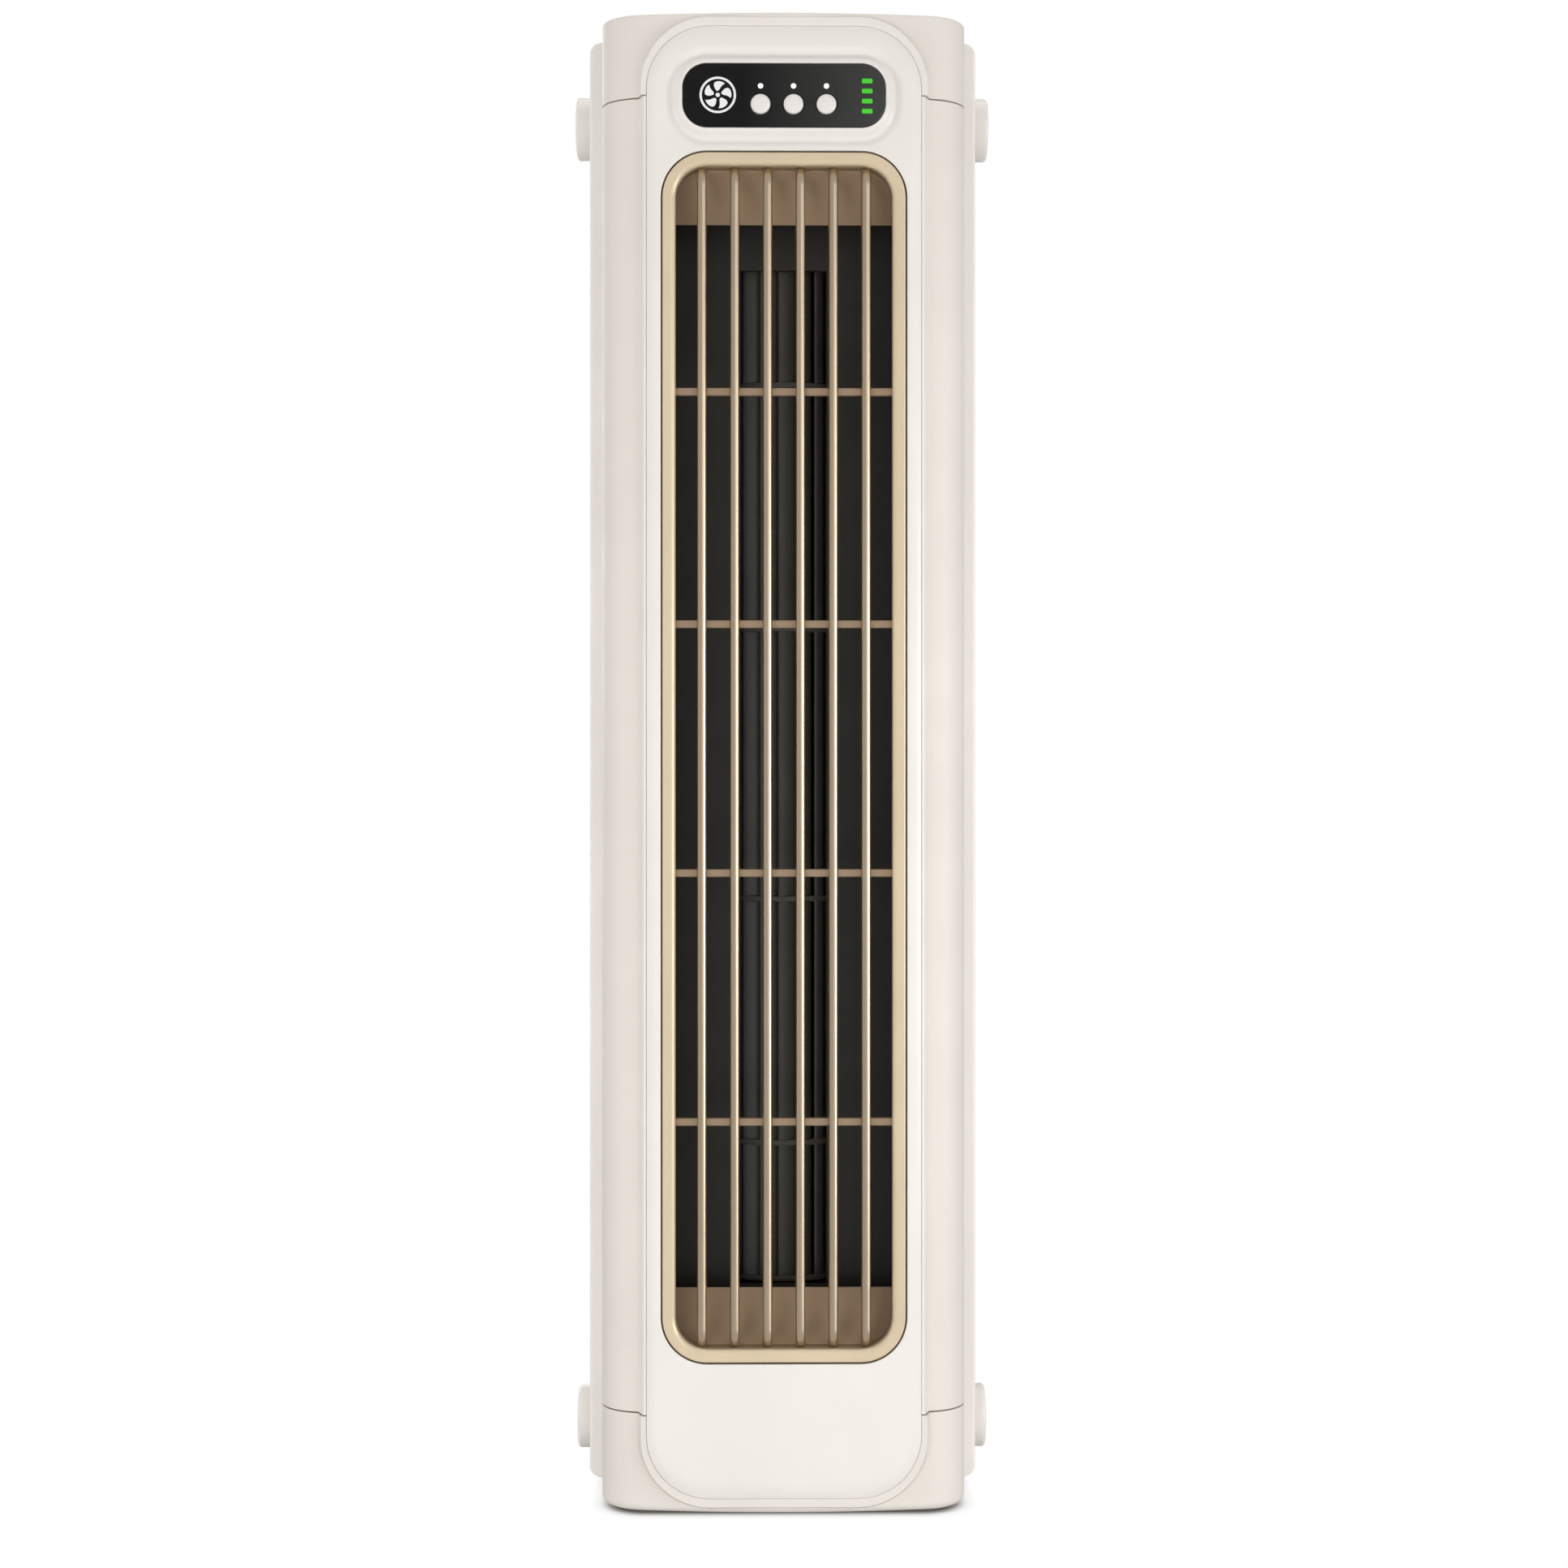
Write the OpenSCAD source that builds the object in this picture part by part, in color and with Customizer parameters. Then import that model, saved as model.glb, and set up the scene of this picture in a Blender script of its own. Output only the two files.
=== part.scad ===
// Portable tower fan with a cross-flow blower, a folding carry handle and a folding rear stand.
// X runs across the front from left to right, Y from front to back, Z up.
// The origin is on the floor, under the middle of the fan.

/* [Housing] */
// Overall height, standing on its feet
height = 380; // [376:1:390]
// Overall depth, from the button crowns to the folded handle
depth = 92; // [91:1:96]
// Width of the front housing
front_w = 93.2; // [92.6:0.1:93.6]
// Width of the rear housing's collar
collar_w = 101.6; // [101.2:0.1:103]
// Width of the rear housing behind the collar, between the folded handle's arms
tub_w = 92.6; // [92:0.1:93]
// Radius of the front face's gentle bow, seen from above
crown_r = 260; // [240:5:320]
// Radius of the front housing's upright corners
front_corner_r = 11.5; // [10:0.5:12]
// Radius of the rear housing's upright corners
rear_corner_r = 8; // [6:0.5:9]
// Wall thickness of the housings
wall = 2.2; // [1.8:0.1:2.4]
// Height of the seam above the base cap
base_seam_z = 25.5; // [23:0.5:26]
// Height of the seam below the top cap
top_seam_z = 358.7; // [358:0.1:359.5]
// Width of the seams between housing pieces
seam = 0.3; // [0.2:0.05:0.4]
// How far the rubber feet stand out below the base
foot_h = 0.4; // [0.4:0.1:1]
// Radius of a rubber foot
foot_r = 6; // [4:0.5:7]

/* [Bezel and outlet grille] */
// Width of the raised front bezel
bezel_w = 69.4; // [68:0.2:70]
// Height of the bezel's lower edge
bezel_z0 = 4.5; // [4.3:0.1:6]
// Height of the bezel's upper edge
bezel_z1 = 376.2; // [374:0.1:376.5]
// Corner radius of the bezel
bezel_r = 16; // [14:0.5:18]
// How far the bezel stands out from the housing
bezel_proud = 2; // [1.6:0.1:2.4]
// Width of the raised lip along the bezel's sides
lip_w = 1.4; // [1:0.1:1.8]
// Width of the lip above and below the bezel
lip_end_w = 2.1; // [1.6:0.1:2.2]
// Width of the outlet grille, over its frame
grille_w = 61.4; // [60:0.2:62]
// Height of the grille frame's lower edge
grille_z0 = 39; // [37:0.1:40]
// Height of the grille frame's upper edge
grille_z1 = 344.2; // [343:0.1:345]
// Outer corner radius of the grille frame
grille_r = 11.3; // [10:0.1:12]
// Width of the grille frame's rim
rim_w = 3.3; // [2.8:0.1:3.5]
// Number of upright grille bars
bars = 6; // [4:2:6]
// Distance between the upright bars
bar_pitch = 8.3; // [8:0.1:8.6]
// Width of an upright bar
bar_w = 2.4; // [2:0.1:2.8]
// Heights of the grille's cross bars
cross_z = [99.2, 162.3, 225.4, 284.3];
// Thickness of a cross bar
cross_t = 2; // [1.6:0.1:2.4]

/* [Controls] */
// Width of the black display panel
panel_w = 51; // [50:0.5:52]
// Height of the display panel
panel_h = 16; // [15:0.5:17]
// Height of the panel's centre above the floor
panel_z = 358.2; // [358:0.1:359]
// Corner radius of the panel
panel_r = 6.1; // [5:0.1:7]
// Diameter of a push button
button_d = 5; // [4.6:0.1:5.2]
// Distance between the buttons
button_pitch = 8.3; // [8:0.1:8.6]
// How far a button travels when it is pressed
button_travel = 0.5; // [0.3:0.1:0.5]
// Outer radius of the fan symbol
symbol_r = 4.6; // [4:0.1:5]
// Number of green level lights
levels = 4; // [3:1:5]

/* [Blower] */
// Outer radius of the cross-flow impeller
impeller_r = 19.6; // [18:0.2:19.6]
// Height of the impeller's lower end
impeller_z0 = 52; // [52:0.5:54]
// Height of the impeller's upper end
impeller_z1 = 328; // [326:0.5:328]
// Number of impeller blades
blades = 24; // [18:1:26]
// Width of the window that the air leaves the blower by
throat_w = 23.2; // [20:0.2:24]
// Radius of the motor's can
motor_r = 15; // [13:0.5:15]
// Radius of the motor's shaft
motor_shaft_r = 1.5; // [1.5:0.1:2]
// Radial play between a shaft and its bearing
play = 0.05; // [0.02:0.01:0.1]

/* [Handle and stand] */
// Distance of the handle and stand pivots behind the fan's middle
pivot_y = 12; // [12:0.1:12.5]
// Height of the carry handle's pivot
handle_z = 362.3; // [361:0.1:364]
// Height of the rear stand's pivot
stand_z = 12.9; // [12:0.1:14]
// Radius of the round knobs at the pivots
knob_r = 8.4; // [8:0.1:8.4]
// Distance between the outer faces of the handle's knobs
handle_knob_span = 111.2; // [109:0.2:113]
// Distance between the outer faces of the stand's knobs
stand_knob_span = 110; // [109:0.2:113]
// Thickness of the handle's and the stand's arms
arm_t = 3.4; // [3:0.1:3.4]
// Height between a pivot and its crossbar, folded
bail_rise = 49.6; // [45:0.1:52]

/* [Hidden] */
$fn = 64;
over = 1; // how far a cutting shape runs past the face it cuts
lap = 0.1; // how far two joined shapes run into each other

// Colours
cream = [0.89, 0.86, 0.83];
ivory = [0.93, 0.91, 0.88];
gold = [0.85, 0.76, 0.63];
tan = [0.50, 0.41, 0.32];
coal = [0.13, 0.13, 0.12];
soot = [0.09, 0.09, 0.09];
steel = [0.72, 0.73, 0.75];
bronze = [0.72, 0.53, 0.30];
dark_rubber = [0.16, 0.16, 0.17];
circuit_green = [0.07, 0.32, 0.18];
leaf_green = [0.20, 0.78, 0.15];

// Levels of the housing, from front to back
nose_y = -depth / 2 + 4.5; // front of the bowed face
split_y = -11.5; // where the rear housing's collar starts
collar_y = 3.2; // back of the collar
back_y = depth / 2 - 4; // back of the rear housing
skirt_y = -5; // back of the front shell's skirt, inside the collar
floor_z = foot_h + 2.6; // top of the bottom plates
roof_z = height - 2.4; // underside of the top plates
bow_y = nose_y + crown_r; // centre of the front bow
base_edge_r = 2; // rounding of the lower outside edge
top_edge_r = 0.8; // rounding of the upper outside edge
collar_edge_r = 3; // rounding of the collar's ends
collar_lift = 1.6; // height of the collar's lower end above the base's underside

// Bezel and grille
face_y = nose_y - bezel_proud; // flat face of the bezel
grille_back_y = nose_y + 4.5;
grille_gap = 0.35;
grille_mid_z = (grille_z0 + grille_z1) / 2;
grille_h = grille_z1 - grille_z0;
bezel_mid_z = (bezel_z0 + bezel_z1) / 2;
bezel_h = bezel_z1 - bezel_z0;
lip_y = nose_y - 0.8; // flat face of the lip
lip_root = 4; // how far behind the foremost point of the bow the lip is rooted

// Controls, from front to back
crown_y = -depth / 2; // button crowns
pod_y = face_y - 1.1; // rim around the display panel
panel_y = face_y - 1.3; // face of the display panel
panel_t = 1.2;
panel_play = 0.1; // between the panel's edge and its recess
button_gap = 0.25; // between a button and its hole
dot_r = 0.7;
light_proud = 0.05; // how far the lights stand out from the panel
pod_floor_y = panel_y + panel_t + 1.6; // back of the bezel's floor behind the panel
board_y = -depth / 2 + 9.4; // front of the control board
button_z = panel_z - 2.3;
dot_z = panel_z + 2.3;
button_x = [for (i = [-1:1]) 2.35 + i * button_pitch];
level_x = 20.9;
level_size = [2.7, 1.2];
level_pitch = 2.53;
symbol_x = -16.7;
flange_w = 0.8; // how far a button's flange reaches past its cap
stem_r = 1.6;
board_t = 1.6;
switch_h = 2.75; // of a tact switch with its plunger
board_post = [24.5, 6.7]; // half spacings of the board's screws
pocket_w = 54.6;
pocket_h = 19.6;

// Blower
axis_y = 16; // the impeller's axis
throat_y = -6.5; // front of the duct's back plate
throat_z1 = 320.8;
duct_x = 30; // inside half width of the duct
duct_t = 2;
duct_front_y = grille_back_y + 0.5;
baffle_y = -21.5; // inner edge of the end baffles
bearing_plate_z = 333;
motor_plate_z = 46;
disc_t = 1.6;
disc_w = 6.5; // width of the inner discs' rings
plate_t = 3; // thickness of the bearing plate
motor_plate_t = 2.5;
boss_hole_r = 8; // openings of the two end plates at the impeller's axis
bush_r = 4;
bearing_r = 5;
bearing_h = 3;
bracket_t = 1.5;
motor_screw_r = 1.5;
wheel_turn = -4; // how far the wheel is turned at rest
disc_z = [impeller_z0, 88.2, 153.2, 225.2, 290.2, impeller_z1 - disc_t];
hub_r = 6;
hub_z0 = 45.2;
stub_r = 2; // radius of the impeller's upper shaft
stub_len = 8; // length of that shaft inside the impeller
motor_z0 = 25.5;
motor_z1 = 43;
motor_hole = [19, 9]; // half spacings of the motor's screws

// Intake in the back
intake_w = 60;
intake_z0 = 74;
intake_z1 = 302;

// Screws that join the housings
post_x = 39.5;
post_z = [40, 190, 340];
post_seat_y = 12; // where the heads sit, deep in the rear posts
duct_screw_x = 34.3;
duct_screw_z = [66, 314];
duct_tab_y = nose_y + 6; // where the duct's tabs lie on the front shell's bosses
duct_tab_t = 2.5;
post_hole_r = 1.4;
well_r = 3.1; // radius of the wells that the housing screws are reached through
well_wall = 0.7;
feet = [[32, -26], [34, 30]]; // a front and a rear foot of one side
foot_sunk = 0.8; // how deep the feet are let into the bottom plates

// Handle and stand
arm_x0 = tub_w / 2 + 0.7; // inside of the arms
arm_x1 = arm_x0 + arm_t;
eye_r = 7.6;
tip_r = 5.6;
bar_t = 3.4; // thickness of a crossbar
pin_r = 3;
pin_end_x = 41; // inner end of a knob's pin
pin_boss_x = 41.6;
pin_boss_r = 6;
pin_bore_r = 1.3;
washer_r = 7;

// Electrics
cell_r = 9.2;
cell_len = 65;
cell_y = [-26, -6];
cell_z = 14.6;
charge_z = 20; // underside of the charging board
usb = [9, 3.2]; // outside of the charging socket
usb_wall = 0.3;
usb_z = charge_z + board_t + usb[1] / 2;

// A 2D shape in X and Z, made solid from y0 to y1
module front_extrude(y0, y1) {
  translate([0, y1, 0]) rotate([90, 0, 0]) linear_extrude(y1 - y0) children();
}

// A 2D shape in Y and Z, made solid from x0 to x1
module side_extrude(x0, x1) {
  translate([x0, 0, 0]) rotate([90, 0, 90]) linear_extrude(x1 - x0) children();
}

// A round bar along Y at [x, z]
module rod_y(x, z, r, y0, y1) {
  translate([x, y0, z]) rotate([-90, 0, 0]) cylinder(h = y1 - y0, r = r);
}

// A round bar along X at [y, z]
module rod_x(y, z, r, x0, x1) {
  translate([x0, y, z]) rotate([0, 90, 0]) cylinder(h = x1 - x0, r = r);
}

// A round bar along Z at [x, y]
module rod_z(x, y, r, z0, z1) {
  translate([x, y, z0]) cylinder(h = z1 - z0, r = r);
}

// A box between two opposite corners
module block(low, high) {
  translate(low) cube(high - low);
}

// A rectangle with its lower corners rounded by low_r and its upper ones by high_r
module soft_rect(x0, x1, z0, z1, low_r, high_r) {
  translate([x0, z0 + low_r]) square([x1 - x0, z1 - z0 - low_r - high_r]);
  translate([x0 + low_r, z0]) square([x1 - x0 - 2 * low_r, low_r + lap]);
  translate([x0 + high_r, z1 - high_r - lap]) square([x1 - x0 - 2 * high_r, high_r + lap]);
  for (x = [x0 + low_r, x1 - low_r]) translate([x, z0 + low_r]) circle(low_r);
  for (x = [x0 + high_r, x1 - high_r]) translate([x, z1 - high_r]) circle(high_r);
}

// A rounded rectangle around a centre
module round_rect(w, h, r, z) {
  soft_rect(-w / 2, w / 2, z - h / 2, z + h / 2, r, r);
}

// Everything at this point and at its mirror image across X
module both_sides() {
  for (side = [0, 1]) mirror([side, 0, 0]) children();
}

// A screw along Y whose head looks back, with a cross recess
module screw_y(x, z, seat_y, shank_r, length, head_r, head_t) {
  difference() {
    union() {
      rod_y(x, z, shank_r, seat_y - length, seat_y + 0.1);
      rod_y(x, z, head_r, seat_y, seat_y + head_t);
    }
    for (turn = [0, 90])
      translate([x, seat_y + head_t, z]) rotate([0, turn, 0])
        cube([head_r * 1.2, head_t, head_r * 0.3], center = true);
  }
}

// A screw along Z whose head looks down, with a cross recess
module screw_z(x, y, seat_z, shank_r, length, head_r, head_t) {
  translate([x, y, seat_z]) rotate([-90, 0, 0]) screw_y(0, 0, 0, shank_r, length, head_r, head_t);
}

// Plan of the front housing: a bowed face, round corners and straight sides, as far back as y1
module front_plan(inset, y1) {
  half = front_w / 2 - inset;
  corner = front_corner_r - inset;
  corner_x = front_w / 2 - front_corner_r;
  corner_y = bow_y - sqrt(pow(crown_r - front_corner_r, 2) - pow(corner_x, 2));
  touch_x = corner_x * (crown_r - inset) / (crown_r - front_corner_r);
  intersection() {
    translate([0, bow_y]) circle(crown_r - inset, $fn = 360);
    translate([-touch_x, nose_y - over]) square([2 * touch_x, y1 - nose_y + over]);
  }
  for (x = [-corner_x, corner_x]) translate([x, corner_y]) circle(corner);
  translate([-half, corner_y]) square([2 * half, y1 - corner_y]);
}

// The outside of the front housing, with rounded upper and lower edges
module front_body(y1) {
  intersection() {
    translate([0, 0, foot_h]) linear_extrude(height - foot_h) front_plan(0, y1);
    front_extrude(nose_y - over, y1 + over)
      soft_rect(-front_w / 2, front_w / 2, foot_h, height, base_edge_r, top_edge_r);
    side_extrude(-front_w, front_w)
      soft_rect(nose_y, nose_y + depth, foot_h, height, base_edge_r, top_edge_r);
  }
}

// The flat lip around the bezel, which the bowed face falls away behind
module bezel_lip() {
  front_extrude(lip_y, nose_y + lip_root) difference() {
    round_rect(bezel_w + 2 * lip_w, bezel_h + 2 * lip_end_w, bezel_r + lip_w, bezel_mid_z);
    round_rect(bezel_w + 0.2, bezel_h + 0.2, bezel_r, bezel_mid_z);
  }
}

// The whole front skin between two heights, which the three front housing pieces are cut from
module front_skin(z0, z1, y1) {
  intersection() {
    union() {
      difference() {
        front_body(y1);
        translate([0, 0, floor_z]) linear_extrude(roof_z - floor_z) front_plan(wall, y1 + over);
      }
      bezel_lip();
    }
    translate([-depth, -depth, z0]) cube([2 * depth, 2 * depth, z1 - z0]);
  }
}

// The holes in the front skin, behind the grille and behind the control panel
module front_openings() {
  front_extrude(nose_y - over, nose_y + 12) {
    grille_outline(-0.7);
    round_rect(pocket_w + 2, pocket_h + 1.6, 2, panel_z);
  }
}

// An inner tongue that slides into the front shell, from seam_z on, and lines a cap up with it
module cap_tongue(root_z, seam_z, tip_z) {
  difference() {
    union() {
      tongue_ring(min(root_z, seam_z), abs(seam_z - root_z), wall - 0.2);
      tongue_ring(min(root_z, tip_z), abs(tip_z - root_z), wall + 0.1);
    }
    block([-bezel_w / 2, nose_y - over, 0], [bezel_w / 2, nose_y + 12, height]);
  }
}

module tongue_ring(z, h, inset) {
  translate([0, 0, z]) linear_extrude(h) difference() {
    front_plan(inset, split_y - 4);
    front_plan(wall + 1.5, split_y);
  }
}

module front_shell() {
  color(cream) {
    difference() {
      front_skin(base_seam_z + seam / 2, top_seam_z - seam / 2, skirt_y);
      front_openings();
    }
    both_sides() {
      for (z = post_z) difference() {
        rod_y(post_x, z, 3.4, nose_y + 6.5, post_seat_y - 7.3);
        rod_y(post_x, z, post_hole_r, post_seat_y - 20, post_seat_y);
      }
      for (z = duct_screw_z) difference() {
        rod_y(duct_screw_x, z, 2.6, nose_y + 3.5, duct_tab_y);
        rod_y(duct_screw_x, z, 1, nose_y + 4.2, duct_tab_y + over);
      }
    }
  }
}

module top_cap() {
  color(cream) {
    difference() {
      front_skin(top_seam_z + seam / 2, height, split_y - 0.2);
      front_openings();
    }
    cap_tongue(top_seam_z + 2, top_seam_z + seam, top_seam_z - 4);
  }
}

module base_cap() {
  color(cream) difference() {
    union() {
      front_skin(0, base_seam_z - seam / 2, split_y - 0.2);
      cap_tongue(base_seam_z - 2, base_seam_z - seam, base_seam_z + 4);
    }
    both_sides() rod_z(feet[0][0], feet[0][1], foot_r, 0, foot_h + foot_sunk);
  }
}

// Plan of the rear housing behind the collar
module tub_plan(inset, y0) {
  half = tub_w / 2 - inset;
  corner = rear_corner_r - inset;
  corner_y = back_y - rear_corner_r;
  translate([-half, y0]) square([2 * half, corner_y - y0]);
  translate([-half + corner, y0]) square([2 * (half - corner), back_y - inset - y0]);
  for (x = [-half + corner, half - corner]) translate([x, corner_y]) circle(corner);
}

// The rear housing's outside: a wide collar in front and a narrower tub behind
module rear_body() {
  front_extrude(split_y, collar_y)
    soft_rect(-collar_w / 2, collar_w / 2, foot_h + collar_lift, height, collar_edge_r, collar_edge_r);
  intersection() {
    translate([0, 0, foot_h]) linear_extrude(height - foot_h) tub_plan(0, split_y);
    side_extrude(-tub_w, tub_w)
      soft_rect(-depth, back_y, foot_h, height, collar_edge_r, collar_edge_r);
  }
}

module rear_shell() {
  inside_w = collar_w - 2 * wall;
  color(cream) {
    difference() {
      rear_body();
      block([-front_w / 2 - 0.15, split_y - over, floor_z],
            [front_w / 2 + 0.15, split_y + 3, roof_z]);
      block([-inside_w / 2, split_y + 2.9, floor_z], [inside_w / 2, collar_y - wall, roof_z]);
      translate([0, 0, floor_z]) linear_extrude(roof_z - floor_z) tub_plan(wall, split_y + 2.9);
      block([-intake_w / 2, back_y - 5, intake_z0], [intake_w / 2, back_y + over, intake_z1]);
      front_extrude(back_y - 5, back_y + over) round_rect(usb[0] + 0.4, usb[1] + 0.4, 1.7, usb_z);
      both_sides() {
        for (z = post_z) rod_y(post_x, z, well_r, post_seat_y, back_y + over);
        for (z = [handle_z, stand_z]) rod_x(pivot_y, z, pin_r + play, pin_boss_x - over, collar_w / 2);
        rod_z(feet[1][0], feet[1][1], foot_r, 0, foot_h + foot_sunk);
      }
    }
    both_sides() {
      for (z = post_z) difference() {
        rod_y(post_x, z, well_r + well_wall, post_seat_y - 7.1, back_y - wall);
        rod_y(post_x, z, well_r, post_seat_y, back_y + over);
        rod_y(post_x, z, 1.5, post_seat_y - 8, back_y);
      }
      for (z = [handle_z, stand_z]) difference() {
        rod_x(pivot_y, z, pin_boss_r, pin_boss_x, tub_w / 2 - wall + lap);
        rod_x(pivot_y, z, pin_r + play, pin_boss_x - over, tub_w / 2);
      }
      rod_z(9, 28, 2, floor_z - 0.1, charge_z);
    }
  }
}

module shell_screws() {
  color(steel) both_sides() for (z = post_z) screw_y(post_x, z, post_seat_y, post_hole_r, 16, 2.8, 2);
}

module rubber_feet() {
  color(dark_rubber) both_sides() for (foot = feet)
    rod_z(foot[0], foot[1], foot_r - 0.1, 0, foot_h + foot_sunk);
}

// Raised panel on the front, with the grille's window, the control pod and posts for the board
module front_bezel() {
  color(ivory) {
    difference() {
      union() {
        front_extrude(face_y, nose_y + 3.5) round_rect(bezel_w, bezel_h, bezel_r, bezel_mid_z);
        front_extrude(pod_y, nose_y) round_rect(panel_w + 5, panel_h + 5, panel_r + 2.5, panel_z);
      }
      translate([0, bow_y, 0]) cylinder(h = height, r = crown_r, $fn = 360);
      front_extrude(pod_y - over, nose_y + 5) grille_outline(-grille_gap);
      front_extrude(pod_y - over, panel_y + panel_t)
        round_rect(panel_w + 2 * panel_play, panel_h + 2 * panel_play, panel_r, panel_z);
      front_extrude(pod_floor_y, nose_y + 5) round_rect(pocket_w, pocket_h, 1, panel_z);
      panel_holes(button_gap);
    }
    both_sides() for (step = [-1, 1]) difference() {
      rod_y(board_post[0], panel_z + step * board_post[1], 2.2, pod_floor_y - 0.1, board_y);
      rod_y(board_post[0], panel_z + step * board_post[1], 0.9, board_y - 3.5, board_y + over);
    }
  }
}

// The holes for the buttons and the lights, through the panel and the bezel's floor
module panel_holes(gap) {
  for (x = button_x) {
    rod_y(x, button_z, button_d / 2 + gap, crown_y, pod_floor_y + over);
    rod_y(x, dot_z, dot_r, crown_y, pod_floor_y + over);
  }
  front_extrude(crown_y, pod_floor_y + over) level_bars();
}

module level_bars() {
  for (i = [0:levels - 1])
    translate([level_x, panel_z - 0.2 + (i - (levels - 1) / 2) * level_pitch])
      round_rect(level_size[0], level_size[1], 0.35, 0);
}

// Outline of the grille's frame, made smaller by inset
module grille_outline(inset) {
  round_rect(grille_w - 2 * inset, grille_h - 2 * inset, grille_r - inset, grille_mid_z);
}

module outlet_grille() {
  color(gold) {
    front_extrude(face_y, grille_back_y) difference() {
      grille_outline(0);
      grille_outline(rim_w);
    }
    for (i = [0:bars - 1]) {
      x = (i - (bars - 1) / 2) * bar_pitch;
      rod_z(x, face_y + 1.8, bar_w / 2, grille_z0 + rim_w - 0.4, grille_z1 - rim_w + 0.4);
      block([x - bar_w / 2, face_y + 1.8, grille_z0 + rim_w - 0.4],
            [x + bar_w / 2, grille_back_y - 1, grille_z1 - rim_w + 0.4]);
    }
    for (z = cross_z)
      block([rim_w - grille_w / 2 - 0.4, face_y + 4, z - cross_t / 2],
            [grille_w / 2 - rim_w + 0.4, grille_back_y - 0.5, z + cross_t / 2]);
  }
}

// A sloping end piece that closes the duct behind one end of the grille
module baffle(rim_z, inner_z, back_z) {
  away = sign(rim_z - inner_z);
  color(tan) side_extrude(-duct_x + 0.1, duct_x - 0.1)
    polygon([[duct_front_y - 0.3, rim_z + away], [baffle_y, inner_z],
             [baffle_y, back_z], [duct_front_y - 0.3, rim_z + 3.4 * away]]);
}

module upper_baffle() { baffle(grille_z1 - rim_w + 0.2, 329.8, bearing_plate_z + 4.8); }
module lower_baffle() { baffle(grille_z0 + rim_w - 0.2, 54.2, motor_plate_z + 0.2); }

module intake_grille() {
  slat_pitch = 4.6;
  slot_w = 3;
  slots = 12;
  edge = 0.2;
  rim = 3;
  bridge_pitch = 38;
  color(cream) {
    front_extrude(back_y - wall, back_y) difference() {
      translate([-intake_w / 2 + edge, intake_z0 + edge])
        square([intake_w - 2 * edge, intake_z1 - intake_z0 - 2 * edge]);
      for (i = [0:slots - 1])
        translate([(i - (slots - 1) / 2) * slat_pitch - slot_w / 2, intake_z0 + rim])
          square([slot_w, intake_z1 - intake_z0 - 2 * rim]);
    }
    for (i = [1:5])
      block([-intake_w / 2 + rim, back_y - wall, intake_z0 + i * bridge_pitch - 1],
            [intake_w / 2 - rim, back_y - 0.6, intake_z0 + i * bridge_pitch + 1]);
  }
}

// Fine black mesh in a thin frame, behind the intake grille
module dust_filter() {
  color(soot) block([-intake_w / 2 - 1, back_y - wall - 1.2, intake_z0 - 1],
                    [intake_w / 2 + 1, back_y - wall - 0.1, intake_z1 + 1]);
}

// Black duct between the outlet and the blower, with the blower's two end plates
module air_duct() {
  wide = duct_x + duct_t;
  top_z = bearing_plate_z + 5;
  color(coal) {
    difference() {
      union() {
        block([-wide, throat_y, motor_plate_z], [wide, throat_y + duct_t, top_z]);
        both_sides() block([duct_x, duct_front_y, motor_plate_z], [wide, throat_y + 0.1, top_z]);
        block([-wide, baffle_y + 0.2, top_z - duct_t], [wide, throat_y + 0.1, top_z]);
        block([-wide, baffle_y + 0.2, motor_plate_z], [wide, throat_y + 0.1, motor_plate_z + duct_t]);
        block([-wide, throat_y + 0.1, bearing_plate_z], [wide, back_y - wall - 1, bearing_plate_z + plate_t]);
        block([-wide, throat_y + 0.1, motor_plate_z], [wide, back_y - wall - 1, motor_plate_z + motor_plate_t]);
      }
      block([-throat_w / 2, throat_y - over, impeller_z0],
            [throat_w / 2, throat_y + duct_t + over, throat_z1]);
      rod_z(0, axis_y, boss_hole_r, bearing_plate_z - over, bearing_plate_z + plate_t + over);
      rod_z(0, axis_y, boss_hole_r, motor_plate_z - over, motor_plate_z + motor_plate_t + over);
      both_sides() for (step = [-1, 1])
        rod_z(motor_hole[0], axis_y + step * motor_hole[1], motor_screw_r, motor_plate_z - over,
              motor_plate_z + motor_plate_t + over);
    }
    both_sides() for (z = duct_screw_z) difference() {
      block([wide - lap, duct_tab_y, z - 4], [wide + 5, duct_tab_y + duct_tab_t, z + 4]);
      rod_y(duct_screw_x, z, 1.2, duct_tab_y - over, duct_tab_y + duct_tab_t + over);
    }
  }
}

module duct_screws() {
  color(steel) both_sides() for (z = duct_screw_z)
    screw_y(duct_screw_x, z, duct_tab_y + duct_tab_t, 1, 3.7, 1.9, 1.3);
}

// Curved wall that turns the air round one side of the impeller
module scroll_wall() {
  scroll_r = 24;
  scroll_t = 1.6;
  color(coal) translate([0, 0, motor_plate_z + motor_plate_t])
    linear_extrude(bearing_plate_z - motor_plate_z - motor_plate_t) intersection() {
      translate([2, axis_y - 1]) difference() {
        circle(scroll_r + scroll_t);
        circle(scroll_r);
      }
      translate([6, throat_y + duct_t]) square([26, axis_y + 14 - throat_y]);
    }
}

// Narrow tongue that parts the inflow from the outflow at the throat's other edge
module stabiliser() {
  color(coal) block([-throat_w / 2 - 2.9, throat_y + duct_t, motor_plate_z + motor_plate_t],
                    [-throat_w / 2 - 0.8, throat_y + 6, bearing_plate_z]);
}

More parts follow.
